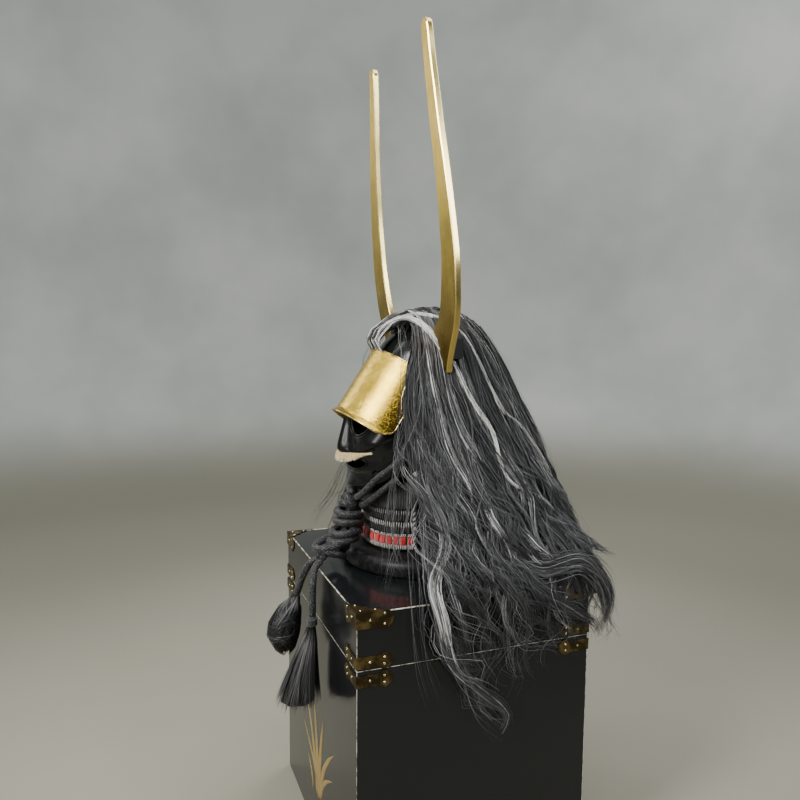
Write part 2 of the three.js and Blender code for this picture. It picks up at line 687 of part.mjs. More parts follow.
// Guide locks of the left half, front edge first and back centre last. Each runs from the ridge
// of the crown over the side of the bowl, out to the lid's rim and down past it.
const HAIR_GUIDES = [
  [[0, -86, 391], [40, -50, 410], [84, -56, 377], [106, -78, 318], [117, -88, 240], [130, -88, 185],
    [172, -80, 112], [229, -82, 15], [239, -68, -55], [237, -30, -125], [236, 32, -212]],
  [[0, -52, 419], [46, -36, 415], [93, -36, 366], [117, -42, 300], [134, -42, 235], [156, -40, 170],
    [192, -38, 95], [233, -36, 8], [241, -20, -60], [238, 6, -112], [236, 28, -168]],
  [[0, -16, 428], [48, -8, 419], [97, -2, 363], [121, 2, 298], [142, 4, 230], [165, 10, 162],
    [198, 18, 88], [235, 26, 4], [241, 44, -52], [238, 66, -100], [235, 92, -152]],
  [[0, 14, 429], [46, 24, 418], [91, 42, 359], [115, 56, 292], [138, 68, 224], [164, 78, 156],
    [197, 90, 82], [234, 100, 2], [240, 114, -38], [238, 126, -66], [236, 138, -96]],
  [[0, 38, 427], [40, 54, 413], [75, 83, 356], [95, 107, 290], [118, 128, 222], [144, 148, 154],
    [178, 170, 80], [229, 197, 8], [236, 196, -36], [238, 205, -62], [236, 207, -88]],
  [[0, 56, 421], [30, 76, 404], [50, 109, 350], [68, 137, 288], [88, 164, 222], [112, 186, 152],
    [142, 206, 84], [172, 222, 16], [196, 236, -40], [206, 240, -86], [204, 238, -128]],
  [[0, 68, 417], [14, 92, 397], [26, 123, 347], [34, 151, 287], [45, 179, 222], [58, 199, 153],
    [78, 216, 86], [98, 229, 20], [108, 234, -40], [106, 233, -92], [102, 227, -140]],
  [[0, 75, 413], [0, 98, 393], [0, 126, 345], [0, 154, 286], [0, 183, 222], [0, 204, 154],
    [0, 220, 88], [0, 230, 24], [0, 234, -40], [0, 230, -96], [0, 222, -150]],
];
const HAIR_THICK = [10, 7, 5, 9, 13, 15, 17, 15, 12, 10, 6]; // at each point of a guide
const HAIR = { locks: 10, ridge: 5, notch: 0.7, perLock: 2, rim: 7, clear: 4, corner: 12 };

// Free locks that stand off the fall: the curl at the rear corner of the box and the low tip.
const FREE_LOCKS = [
  { width: 15, thick: 8, path: [[196, 40, 62], [226, 72, 34], [236, 110, 36], [238, 150, 42], [238, 186, 26],
    [238, 211, -6], [237, 213, -34], [236, 203, -58], [236, 194, -80]] },
  { width: 11, thick: 7, path: [[210, 50, 50], [236, 84, 12], [239, 120, -14], [238, 160, -38], [237, 192, -60],
    [236, 206, -86]] },
  { width: 13, thick: 7, path: [[214, -80, 40], [238, -72, -20], [241, -66, -64], [239, -40, -104], [237, -6, -138],
    [237, 30, -166], [236, 46, -190], [234, 30, -214]] },
];

const spline = (values, share) => new THREE.SplineCurve(values.map((v, i) => new THREE.Vector2(i, v))).getPoint(share).y;

/** A point of the hair's outer surface: share round from the front edge to the back, and share down. */
function hairPoint(around, down) {
  const across = HAIR_GUIDES.map((guide) => [0, 1, 2].map((axis) => spline(guide.map((p) => p[axis]), down)));
  return vector(...[0, 1, 2].map((axis) => spline(across.map((p) => p[axis]), around)));
}

function hairNormal(around, down) {
  const step = 0.01;
  const [u0, u1] = [Math.max(0, around - step), Math.min(1, around + step)];
  const [v0, v1] = [Math.max(0, down - step), Math.min(1, down + step)];
  const along = hairPoint(around, v1).sub(hairPoint(around, v0));
  const across = hairPoint(u1, down).sub(hairPoint(u0, down));
  return along.cross(across).normalize();
}

/** Moves a point that would sink into the box out through its nearer side. */
function keepOffBox(point, further) {
  const cornered = THREE.MathUtils.smoothstep(Math.min(point.x / boxHalf[0], point.y / boxHalf[1]), 0.7, 1);
  const clear = HAIR.clear + further + HAIR.corner * cornered;
  const [dx, dy] = [boxHalf[0] + clear - point.x, boxHalf[1] + clear - point.y];
  if (dx <= 0 || dy <= 0) return point;
  if (dx < dy) point.x += dx;
  else point.y += dy;
  return point;
}

/** One half of the hair, ridged into locks whose tips part below the rim of the lid. */
function hairShell() {
  const rows = HAIR_THICK.length - 1;
  const rim = HAIR.rim / rows;
  const place = (inner) => (column, row) => {
    const phase = Math.abs(Math.sin(Math.PI * column * HAIR.locks));
    const reach = 1 - HAIR.notch * (1 - phase) * (column > 0 && column < 1 ? 1 : 0.3);
    const down = row <= rim ? row : rim + (row - rim) * reach;
    const point = hairPoint(column, down);
    const offset = inner ? -spline(HAIR_THICK, down) : HAIR.ridge * (phase - 1) * Math.min(1, row * 3);
    point.addScaledVector(hairNormal(column, down), offset);
    point.x = Math.max(point.x, GAP / 2);
    if (row > rim - 0.01) keepOffBox(point, inner ? 0 : 2);
    if (Math.abs(row - rim) < 0.01) point.z = Math.max(point.z, HAIR.clear);
    return point;
  };
  return solid(wall(HAIR.locks * HAIR.perLock, rows, place(false), place(true)));
}

/** A flat tapering lock along its path. */
function freeLock({ width, thick, path }) {
  const curve = new THREE.CatmullRomCurve3(path.map((p) => vector(...p)), false, 'centripetal');
  const steps = 8;
  const frames = curve.computeFrenetFrames(steps, false);
  const rings = [];
  for (let s = 0; s <= steps; s += 1) {
    const share = s / steps;
    const taper = Math.min(1, 0.45 + 2 * share) * Math.min(1, 0.08 + 1.9 * (1 - share));
    const centre = curve.getPointAt(share);
    const outward = vector(1, 0, 0.2).projectOnPlane(frames.tangents[s]).normalize();
    const across = outward.clone().cross(frames.tangents[s]).normalize();
    const ring = [];
    for (let k = 0; k < 5; k += 1) {
      const angle = (2 * Math.PI * k) / 5;
      const point = centre.clone().addScaledVector(across, (width / 2) * taper * Math.cos(angle));
      ring.push(point.addScaledVector(outward, (thick / 2) * taper * Math.sin(angle)));
    }
    rings.push(ring);
  }
  return solid(loft(rings));
}

/** Half the hair with its free locks, clear of the horn and its socket. */
function hairHalf() {
  return cutBy(joined([hairShell(), ...FREE_LOCKS.map(freeLock)]), [hornPlate(GAP), hornSocket(GAP)]);
}

// ---------------------------------------------------------------- stand

const STAND = { baseRadius: 140, baseHeight: 33, post: 26, pad: 54, barZ: 208, barHeight: 12, barReach: 62 };

/** A round foot, a post with a pad under the crown of the bowl, and a bar behind the mask. */
function stand() {
  const { baseRadius: r, baseHeight: h, post } = STAND;
  const profile = [
    [0, GAP], [r - 6, GAP], [r, 6], [r, 17], [r - 4, 26], [r - 12, 31], [r - 24, h],
    [post + 10, h], [post, h + 8], [post, 395], [0, 395],
  ];
  const column = new THREE.LatheGeometry(profile.map(([u, z]) => new THREE.Vector2(u, z)), 16);
  const turned = solid(column.rotateX(Math.PI / 2));
  const pad = solid(new THREE.CylinderGeometry(STAND.pad, STAND.pad, 60, 12).rotateX(Math.PI / 2).translate(0, 0, 382));
  const barLow = STAND.barZ;
  const barHigh = STAND.barZ + STAND.barHeight;
  const arm = solid(plainBox([-12, -118, barLow], [12, 0, barHigh]));
  const bar = solid(plainBox([-STAND.barReach, -128, barLow], [STAND.barReach, -96, barHigh]));
  const crown = loft([...bowlRings(-BOWL_THICK - GAP).reverse(), ...bowlRings(60)]);
  const face = maskWall(MASK_THICK + GAP, 60);
  return cutBy(joined([turned, pad, arm, bar]), [solid(crown), face]);
}

// ---------------------------------------------------------------- assembly

const kabuto = new THREE.Group();
const helmet = new THREE.Group();
helmet.position.z = LID_TOP;
kabuto.add(helmet);

function add(parent, name, shape, look) {
  const geometry = shape.getMesh ? geometryOf(shape) : closed(shape);
  const piece = new THREE.Mesh(geometry, finish(...look));
  piece.name = name;
  parent.add(piece);
}

add(kabuto, 'box_body', boxBody(), BLACK_LACQUER);
add(kabuto, 'box_lid', boxLid(), BLACK_LACQUER);
const lidStrapZ = BOX_BODY_HEIGHT + 4 + STRAP_HEIGHT / 2;
const bodyStrapZ = BOX_BODY_HEIGHT - 6 - STRAP_HEIGHT / 2;
for (const [name, copy] of atFourCorners('lid_cap', cornerCap())) add(kabuto, name, copy, BRASS);
for (const [name, copy] of atFourCorners('lid_strap', strap(lidStrapZ, STRAP_HEIGHT))) add(kabuto, name, copy, BRASS);
for (const [name, copy] of atFourCorners('body_strap', strap(bodyStrapZ, STRAP_HEIGHT))) add(kabuto, name, copy, BRASS);

add(helmet, 'stand', stand(), BLACK_STAND);
add(helmet, 'helmet_bowl', bowlWall(-BOWL_THICK, 0), BLACK_LACQUER);
add(helmet, 'visor', visorPlate().add(visorFlange()), GOLD_LEAF);
add(helmet, 'horn_left', hornPlate(), GOLD_LEAF);
add(helmet, 'horn_right', mirrored(geometryOf(hornPlate())), GOLD_LEAF);
add(helmet, 'horn_socket_left', hornSocket(), DARK_STEEL);
add(helmet, 'horn_socket_right', mirrored(geometryOf(hornSocket())), DARK_STEEL);
add(helmet, 'face_mask', mask(), BLACK_LACQUER);
add(helmet, 'moustache', moustache(), PALE_BRISTLE);

THROAT_LAMES.forEach((lame, i) => {
  const last = i === THROAT_LAMES.length - 1;
  add(helmet, `throat_lame_${i + 1}`, throatLame(lame), last ? RED_LACING : BLACK_LACING);
});
NECK_LAMES.forEach((lame, i) => add(helmet, `neck_lame_${i + 1}`, neckLame(lame), BLACK_LACING));

const strands = [
  ['chin_cord_left', CHIN_STRAND],
  ['chin_cord_right', mirroredPoints(CHIN_STRAND)],
  ['inner_cord_left', INNER_STRAND],
  ['inner_cord_right', mirroredPoints(INNER_STRAND)],
];
for (const [name, path] of strands) add(helmet, name, cord(path, CHIN_CORD), BLACK_CORD);
const ends = [['cord_end_left', CORD_END_LEFT], ['cord_end_right', CORD_END_RIGHT]];
for (const [name, path] of ends) add(helmet, name, cord(path, ROPE), BLACK_CORD);
const around = [
  ...strands.map(([, path]) => solid(cord(path, CHIN_CORD + 2 * GAP))),
  ...ends.map(([, path]) => solid(cord(path, ROPE + 2 * GAP))),
];
add(helmet, 'cord_knot', knot(around), BLACK_CORD);
add(helmet, 'tassel_left', bristles(TASSEL_LEFT, 5, 0.16), BLACK_CORD);
add(helmet, 'tassel_right', bristles(TASSEL_RIGHT, 5, 0.1), BLACK_CORD);

add(helmet, 'hair_left', hairHalf(), GREY_HAIR);
add(helmet, 'hair_right', mirrored(geometryOf(hairHalf())), GREY_HAIR);

export default kabuto;
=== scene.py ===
# %% [markdown]
# # A horned kabuto on its armour box
#
# A kabuto is the helmet of a Japanese armour. This one has a smooth bowl, a gilt brow plate, two
# tall horns, a half mask, laced guards and long hair, and it stands on the box that it is kept in.
# The solids in the frame give every piece its place and size. Each cell below dresses one of them:
# it works the shape out again from the same few measures, finer, and gives it a finish made of nodes.

import math

import bpy
import numpy as np
from mathutils import Matrix, Vector


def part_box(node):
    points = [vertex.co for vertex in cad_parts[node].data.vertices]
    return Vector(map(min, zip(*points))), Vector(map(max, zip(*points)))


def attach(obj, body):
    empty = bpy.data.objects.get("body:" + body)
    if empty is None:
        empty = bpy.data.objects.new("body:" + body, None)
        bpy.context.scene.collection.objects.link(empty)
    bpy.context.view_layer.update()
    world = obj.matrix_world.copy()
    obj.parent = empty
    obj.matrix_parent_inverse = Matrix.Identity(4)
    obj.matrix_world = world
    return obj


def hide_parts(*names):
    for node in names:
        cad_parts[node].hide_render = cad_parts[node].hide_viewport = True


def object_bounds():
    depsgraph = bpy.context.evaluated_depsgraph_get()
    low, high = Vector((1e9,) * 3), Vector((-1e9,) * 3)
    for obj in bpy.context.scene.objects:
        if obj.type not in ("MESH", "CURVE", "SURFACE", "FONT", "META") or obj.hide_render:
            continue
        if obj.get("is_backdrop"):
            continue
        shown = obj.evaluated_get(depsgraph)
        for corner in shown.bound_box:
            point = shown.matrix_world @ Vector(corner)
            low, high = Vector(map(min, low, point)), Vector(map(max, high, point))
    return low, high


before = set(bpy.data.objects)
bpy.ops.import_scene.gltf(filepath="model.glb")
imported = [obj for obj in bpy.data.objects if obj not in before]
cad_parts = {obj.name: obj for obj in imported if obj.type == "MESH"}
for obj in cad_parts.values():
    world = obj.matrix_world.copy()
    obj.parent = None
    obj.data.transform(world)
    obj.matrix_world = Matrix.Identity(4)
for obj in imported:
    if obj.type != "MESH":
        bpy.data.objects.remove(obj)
CAD_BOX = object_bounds()
print("nodes in the frame:", len(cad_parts))

# %% [markdown]
# The helmet's measures are millimetres above the lid, because that is how a maker would take them
# off the real thing. One function turns them into metres in the frame.

# %% Measures
LID_TOP = 480.0
BOX_HALF_X, BOX_HALF_Y = 222.5, 193.0


def metres(points, above=LID_TOP):
    """Points in millimetres above the lid, or above another level, as metres in the frame."""
    return (np.asarray(points, float) + [0.0, 0.0, above]) * 0.001


def table(columns, *rows):
    """Rows of numbers under named columns."""
    return [dict(zip(columns.split(), row)) for row in rows]


def between(rows, key, at, by="z"):
    """A named column of a table at one or more places, straight between its rows."""
    return np.interp(at, [row[by] for row in rows], [row[key] for row in rows])


def eased(edge0, edge1, value):
    """0 below edge0, 1 above edge1, and a smooth step between them."""
    t = np.clip((np.asarray(value, float) - edge0) / (edge1 - edge0), 0, 1)
    return t * t * (3 - 2 * t)


def smooth_line(points, count):
    """A smooth curve through points, as count points evenly spaced along it."""
    p = np.asarray(points, float)
    p = np.vstack([2 * p[0] - p[1], p, 2 * p[-1] - p[-2]])
    t = np.linspace(0, len(p) - 3 - 1e-9, 24 * len(p))
    i = t.astype(int)
    f = (t - i)[:, None]
    a, b, c, d = p[i], p[i + 1], p[i + 2], p[i + 3]
    fine = 0.5 * (2 * b + (c - a) * f + (2 * a - 5 * b + 4 * c - d) * f**2 + (3 * b - a - 3 * c + d) * f**3)
    along = np.concatenate([[0], np.cumsum(np.linalg.norm(np.diff(fine, axis=0), axis=1))])
    at = np.linspace(0, along[-1], count)
    return np.stack([np.interp(at, along, fine[:, k]) for k in range(fine.shape[1])], 1)


def length_of(points):
    return float(np.linalg.norm(np.diff(np.asarray(points, float), axis=0), axis=1).sum())


def unit(vectors):
    return vectors / np.maximum(np.linalg.norm(vectors, axis=-1, keepdims=True), 1e-9)


print("lid top at", LID_TOP, "mm; frame box", [round(v, 3) for v in CAD_BOX[1] - CAD_BOX[0]])

# %% [markdown]
# Almost every piece here is a grid of points: a wall has an outer and an inner grid, a cord is a
# grid rolled into a tube, and a hair is a narrow grid. So a few helpers that turn grids into
# meshes are worth more than many separate recipes.

# %% Meshes from grids
def grid_faces(rows, columns, closed_rows=False, closed_columns=False):
    """Quads over a grid of points numbered row by row."""
    r = np.arange(rows if closed_rows else rows - 1)[:, None]
    c = np.arange(columns if closed_columns else columns - 1)[None, :]
    r1, c1 = (r + 1) % rows, (c + 1) % columns
    quads = np.stack([r * columns + c, r * columns + c1, r1 * columns + c1, r1 * columns + c], -1)
    return quads.reshape(-1, 4)


def piece(name, points, quads, finishes, replaced=(), above=LID_TOP, smooth=True, marks=None):
    """A mesh object from points in millimetres, which rides on the frame's one body."""
    mesh = bpy.data.meshes.new(name)
    points = metres(points, above).astype(np.float32)
    quads = np.asarray(quads, np.int32)
    mesh.vertices.add(len(points))
    mesh.vertices.foreach_set("co", points.ravel())
    mesh.loops.add(quads.size)
    mesh.loops.foreach_set("vertex_index", quads.ravel())
    mesh.polygons.add(len(quads))
    mesh.polygons.foreach_set("loop_start", np.arange(0, quads.size, quads.shape[1], dtype=np.int32))
    mesh.update(calc_edges=True)
    mesh.polygons.foreach_set("use_smooth", np.full(len(quads), smooth))
    for key, values in (marks or {}).items():
        mark = mesh.attributes.new(key, "FLOAT", "POINT")
        mark.data.foreach_set("value", np.asarray(values, np.float32).ravel())
    made = bpy.data.objects.new(name, mesh)
    bpy.context.scene.collection.objects.link(made)
    for finish in finishes if isinstance(finishes, (list, tuple)) else [finishes]:
        mesh.materials.append(finish)
    return settled(made, replaced)


def settled(made, replaced=()):
    """An object takes its place in the frame, and the frame's parts that it replaces are hidden."""
    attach(made, "root")
    if replaced:
        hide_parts(*replaced)
    return made


def walled(outer, inner):
    """The closed wall between two grids of equal size: points and quads."""
    rows, columns = outer.shape[:2]
    count = rows * columns
    skin = grid_faces(rows, columns)
    edge = np.concatenate([
        np.arange(columns),
        np.arange(2, rows) * columns - 1,
        count - 1 - np.arange(columns),
        (np.arange(rows - 2, 0, -1)) * columns,
    ])
    onward = np.roll(edge, -1)
    rim = np.stack([edge, edge + count, onward + count, onward], 1)
    return np.vstack([outer.reshape(-1, 3), inner.reshape(-1, 3)]), np.vstack([skin, skin[:, ::-1] + count, rim])


def rings_closed(rings):
    """A skin over rings of points, each closed on itself, with a fan of quads over both ends."""
    rows, columns = rings.shape[:2]
    skin = grid_faces(rows, columns, closed_columns=True)
    points = np.vstack([rings.reshape(-1, 3), rings[0].mean(0)[None], rings[-1].mean(0)[None]])
    start, end = rows * columns, rows * columns + 1
    k = np.arange(0, columns, 2)
    low = np.stack([np.full_like(k, start), (k + 2) % columns, (k + 1) % columns, k], 1)
    top = (rows - 1) * columns
    high = np.stack([np.full_like(k, end), top + k, top + (k + 1) % columns, top + (k + 2) % columns], 1)
    return points, np.vstack([skin, low, high])


def merged(parts):
    """Several (points, quads) pairs as one."""
    points, quads, start = [], [], 0
    for p, q in parts:
        points.append(p)
        quads.append(q + start)
        start += len(p)
    return np.vstack(points), np.vstack(quads)


def frames_along(path):
    """Tangents and two normals along a path, carried along it without twist."""
    tangent = unit(np.gradient(path, axis=0))
    side = np.zeros_like(path)
    start = np.array([0.0, 0.0, 1.0]) if abs(tangent[0][2]) < 0.8 else np.array([1.0, 0.0, 0.0])
    side[0] = unit(start - tangent[0] * (start @ tangent[0]))
    for i in range(1, len(path)):
        carried = side[i - 1] - tangent[i] * (side[i - 1] @ tangent[i])
        side[i] = carried / np.linalg.norm(carried)
    return tangent, side, np.cross(tangent, side)


def tube(path, radius, sides=12):
    """A closed tube along a path. The radius may change along it."""
    _, side, other = frames_along(path)
    angle = np.arange(sides) * 2 * math.pi / sides
    spoke = side[:, None] * np.cos(angle)[None, :, None] + other[:, None] * np.sin(angle)[None, :, None]
    radius = np.broadcast_to(np.asarray(radius, float), (len(path),))
    return rings_closed(path[:, None] + spoke * radius[:, None, None])


def mirror(points, quads):
    return points * [-1, 1, 1], quads[:, ::-1]


def bevelled(made, width, segments=2, angle=30, finish=0):
    """A bevel that takes in the sharp edges alone, in metres. The finish is the material's number."""
    bevel = made.modifiers.new("soft_edges", "BEVEL")
    bevel.width, bevel.segments, bevel.limit_method = width, segments, "ANGLE"
    bevel.angle_limit = math.radians(angle)
    bevel.material = finish
    bevel.harden_normals = True
    return made


def dressed_copy(node, name, finishes, smooth_below=40):
    """The frame's own shape of a node as a new piece, ready for a bevel and a finish."""
    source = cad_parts[node]
    made = bpy.data.objects.new(name, source.data.copy())
    bpy.context.scene.collection.objects.link(made)
    made.data.materials.clear()
    for finish in finishes if isinstance(finishes, (list, tuple)) else [finishes]:
        made.data.materials.append(finish)
    made.data.shade_smooth()
    made.data.set_sharp_from_angle(angle=math.radians(smooth_below))
    return settled(made, [node])


print("helpers for walls, tubes and copies are ready")

# %% [markdown]
# Shader maths reads best as plain sums. This small class stands for a socket's value, and each
# operator adds the Math node that does it. Everything that isn't a sum on plain values, such as a
# noise or a colour mix, comes from the one `node` method of a finish.

# %% Shader values
class Wire:
    """The value of a socket. Sums on it add Math nodes."""

    def __init__(self, finish, socket):
        self.finish, self.socket = finish, socket

    def _sum(self, operation, *values):
        return self.finish.node("ShaderNodeMath", {"operation": operation}, *values)

    def __add__(self, other):
        return self._sum("ADD", self, other)

    def __sub__(self, other):
        return self._sum("SUBTRACT", self, other)

    def __rsub__(self, other):
        return self._sum("SUBTRACT", other, self)

    def __mul__(self, other):
        return self._sum("MULTIPLY", self, other)

    __radd__, __rmul__ = __add__, __mul__

    def clamped(self):
        return self.finish.node("ShaderNodeClamp", {}, self, 0.0, 1.0)

    def steps(self, low, high):
        """0 where the value is below low, 1 where it is above high."""
        return self.finish.node("ShaderNodeMapRange", {"interpolation_type": "SMOOTHSTEP"}, self, low, high, 0.0, 1.0)


class Finish:
    """A node material that is built up from Wires."""

    def __init__(self, name):
        self.material = bpy.data.materials.new(name)
        self.material.use_nodes = True
        self.tree = self.material.node_tree
        self.tree.nodes.clear()

    def node(self, kind, settings=None, *values, out=0, **named):
        """One node: its type, its settings, then the values or links of its sockets."""
        made = self.tree.nodes.new(kind)
        for key, value in (settings or {}).items():
            if key == "stops":
                self._ramp(made, value)
            else:
                setattr(made, key, value)
        shown = [s for s in made.inputs if s.enabled]
        pairs = list(zip(shown, values)) + [(made.inputs[k.replace("_", " ")], v) for k, v in named.items()]
        for socket, value in pairs:
            if isinstance(value, Wire):
                self.tree.links.new(value.socket, socket)
            elif value is not None:
                socket.default_value = value
        results = [s for s in made.outputs if s.enabled]
        return Wire(self, results[out] if isinstance(out, int) else made.outputs[out])

    def _ramp(self, made, stops):
        band = made.color_ramp.elements
        while len(band) < len(stops):
            band.new(0.5)
        for element, (at, colour) in zip(band, stops):
            element.position, element.color = at, (*colour, 1.0)

    def ramp(self, value, *stops):
        return self.node("ShaderNodeValToRGB", {"stops": stops}, value)

    def place(self, scale=(1, 1, 1), turn=(0, 0, 0)):
        """Object coordinates in metres, stretched and turned."""
        spot = self.node("ShaderNodeTexCoord", out="Object")
        return self.node("ShaderNodeMapping", {}, spot, Rotation=turn, Scale=scale)

    def mark(self, name):
        """A number that the mesh carries at each point."""
        return self.node("ShaderNodeAttribute", {"attribute_name": name}, out="Fac")

    def joined(self, x, y, z=0.0):
        return self.node("ShaderNodeCombineXYZ", {}, x, y, z)

    def noise(self, place, scale, detail=3.0, rough=0.5, out=0):
        return self.node("ShaderNodeTexNoise", {}, place, Scale=scale, Detail=detail, Roughness=rough, out=out)

    def cells(self, place, scale, feature="F1", out=0, spread=1.0):
        return self.node("ShaderNodeTexVoronoi", {"feature": feature}, place, Scale=scale, Randomness=spread, out=out)

    def blend(self, first, second, share, mode="MIX"):
        """Two colours mixed by a share."""
        kind = {"data_type": "RGBA", "blend_type": mode}
        first, second = [(*c, 1.0) if isinstance(c, tuple) else c for c in (first, second)]
        return self.node("ShaderNodeMix", kind, share, first, second)

    def bump(self, height, depth, strength=1.0, normal=None):
        """A normal from a height. Depth is in metres."""
        return self.node("ShaderNodeBump", {}, Strength=strength, Distance=depth, Height=height, Normal=normal)

    def surface(self, **sockets):
        """The surface shader, and the finished material."""
        sockets = {k: (*v, 1.0) if isinstance(v, tuple) and len(v) == 3 else v for k, v in sockets.items()}
        shader = self.node("ShaderNodeBsdfPrincipled", {}, **sockets)
        output = self.tree.nodes.new("ShaderNodeOutputMaterial")
        self.tree.links.new(shader.socket, output.inputs["Surface"])
        return self.material


print("shader helpers are ready")

# %% [markdown]
# Hair, bristle and tassel fibre are all strands. A strand is a flat ribbon that is turned to face
# outwards, and each of its points carries the tone of its strand, which a ramp turns into a colour.

# %% Strands
def weights(count, share):
    """The four neighbours of a place between evenly spaced points, and how much each one counts."""
    at = (count - 1) * np.clip(share, 0, 1)
    i = np.minimum(at.astype(int), count - 2)
    f = at - i
    near = [np.maximum(i - 1, 0), i, i + 1, np.minimum(i + 2, count - 1)]
    amount = [
        -0.5 * f**3 + f**2 - 0.5 * f, 1.5 * f**3 - 2.5 * f**2 + 1,
        -1.5 * f**3 + 2 * f**2 + 0.5 * f, 0.5 * f**3 - 0.5 * f**2,
    ]
    return near, amount


def strands_finish(name, stops, rough, grain=0.10):
    f = Finish(name)
    tone, along = f.mark("tone"), f.mark("along_mm")
    streak = f.noise(f.joined(tone * 60.0, along * 0.02), 1.0, 2.0)
    shade = (tone + (streak - 0.5) * grain).clamped()
    colour = f.ramp(shade, *stops)
    return f.surface(Base_Color=colour, Roughness=streak * 0.12 + rough, Specular_IOR_Level=0.6)


def ribbons(places, out, tones, rng, wide=(0.8, 1.35)):
    """Flat ribbons along strands: points, faces and marks."""
    count, steps = places.shape[:2]
    way = unit(np.gradient(places, axis=1))
    roll = rng.uniform(-0.7, 0.7, (count, 1, 1))
    beside = unit(np.cross(way, out))
    facing = np.cross(beside, way)
    beside = beside * np.cos(roll) + facing * np.sin(roll)
    share = np.linspace(0, 1, steps)
    width = rng.uniform(*wide, (count, 1)) * (1 - 0.82 * eased(0.72, 1, share))[None]
    left = places + beside * (width / 2)[..., None]
    right_edge = places - beside * (width / 2)[..., None]
    points = np.stack([left, right_edge], 2).reshape(-1, 3)
    one = grid_faces(steps, 2)
    faces = (one[None] + (np.arange(count) * steps * 2)[:, None, None]).reshape(-1, 4)
    along = np.concatenate([np.zeros((count, 1)), np.cumsum(np.linalg.norm(np.diff(places, axis=1), axis=2), 1)], 1)
    marks = {"tone": np.repeat(tones.ravel(), 2), "along_mm": np.repeat(along.ravel(), 2)}
    return points, faces, marks


print("strand helpers are ready")

# %% [markdown]
# ## The camera
#
# The view looks at the helmet's left side from a little in front, from about its own height. A
# camera is easiest to aim by its three axes: where it looks, and what is right and up for it.

# %% Camera
YAW, PITCH, ROLL = math.radians(69.04), math.radians(5.62), math.radians(0.43)
look = np.array([-math.sin(YAW) * math.cos(PITCH), math.cos(YAW) * math.cos(PITCH), -math.sin(PITCH)])
flat_right = np.array([math.cos(YAW), math.sin(YAW), 0.0])
flat_up = np.cross(flat_right, look)
right = flat_right * math.cos(ROLL) + flat_up * math.sin(ROLL)
up = flat_up * math.cos(ROLL) - flat_right * math.sin(ROLL)

lens = bpy.data.cameras.new("camera")
lens.lens, lens.sensor_width = 33.3, 36.0
lens.clip_start, lens.clip_end = 0.05, 60.0
camera = bpy.data.objects.new("camera", lens)
bpy.context.scene.collection.objects.link(camera)
turn = Matrix((right, up, -look)).transposed().to_4x4()
camera.matrix_world = Matrix.Translation((1.179, -0.497, 0.881)) @ turn
bpy.context.scene.camera = camera
print("camera looks along", look.round(3))

# %% [markdown]
# ## Studio
#
# Lacquer and gilt show what they reflect more than their own colour. So the light matters as much
# as the finish: a pale room, one wide soft light high beside the camera that draws the long
# highlights, and a weaker one behind on the other side that lifts the edges and the hair.

# %% Light and room
def soft_light(name, place, target, size, power, colour=(1.0, 0.98, 0.95)):
    light = bpy.data.lights.new(name, "AREA")
    light.shape, light.size, light.size_y = "RECTANGLE", size[0], size[1]
    light.energy, light.color = power, colour
    made = bpy.data.objects.new(name, light)
    bpy.context.scene.collection.objects.link(made)
    made.location = place
    made.rotation_euler = (Vector(target) - Vector(place)).to_track_quat("-Z", "Y").to_euler()
    made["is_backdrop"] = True
    return made


soft_light("key_light", (0.95, -2.1, 2.35), (0, 0, 0.8), (0.62, 1.5), 74)
soft_light("glint_light", (1.5, -2.5, 1.15), (0, 0, 0.7), (0.22, 1.1), 11)
soft_light("side_light", (2.4, 1.1, 1.85), (0, 0, 0.9), (0.6, 1.4), 34, (0.96, 0.98, 1.0))
soft_light("back_light", (-1.6, 1.9, 2.5), (0, 0, 0.8), (1.4, 1.4), 26)
soft_light("top_light", (0.2, 0.1, 3.2), (0, 0, 0.6), (1.4, 1.4), 26)
soft_light("horn_light", (-2.0, -1.4, 1.75), (0.1, 0, 1.1), (0.35, 0.9), 8)
soft_light("wall_light_left", (-1.0, -1.6, 3.0), (-3.8, -0.6, 0.9), (1.6, 1.6), 37, (1.0, 1.0, 0.98))
soft_light("wall_light_right", (-0.6, 2.2, 3.2), (-3.0, 3.2, 1.0), (1.6, 1.6), 46, (1.0, 1.0, 0.98))

world = bpy.data.worlds.new("room_light")
world.use_nodes = True
world.node_tree.nodes["Background"].inputs["Color"].default_value = (0.80, 0.84, 0.82, 1.0)
world.node_tree.nodes["Background"].inputs["Strength"].default_value = 0.30
bpy.context.scene.world = world


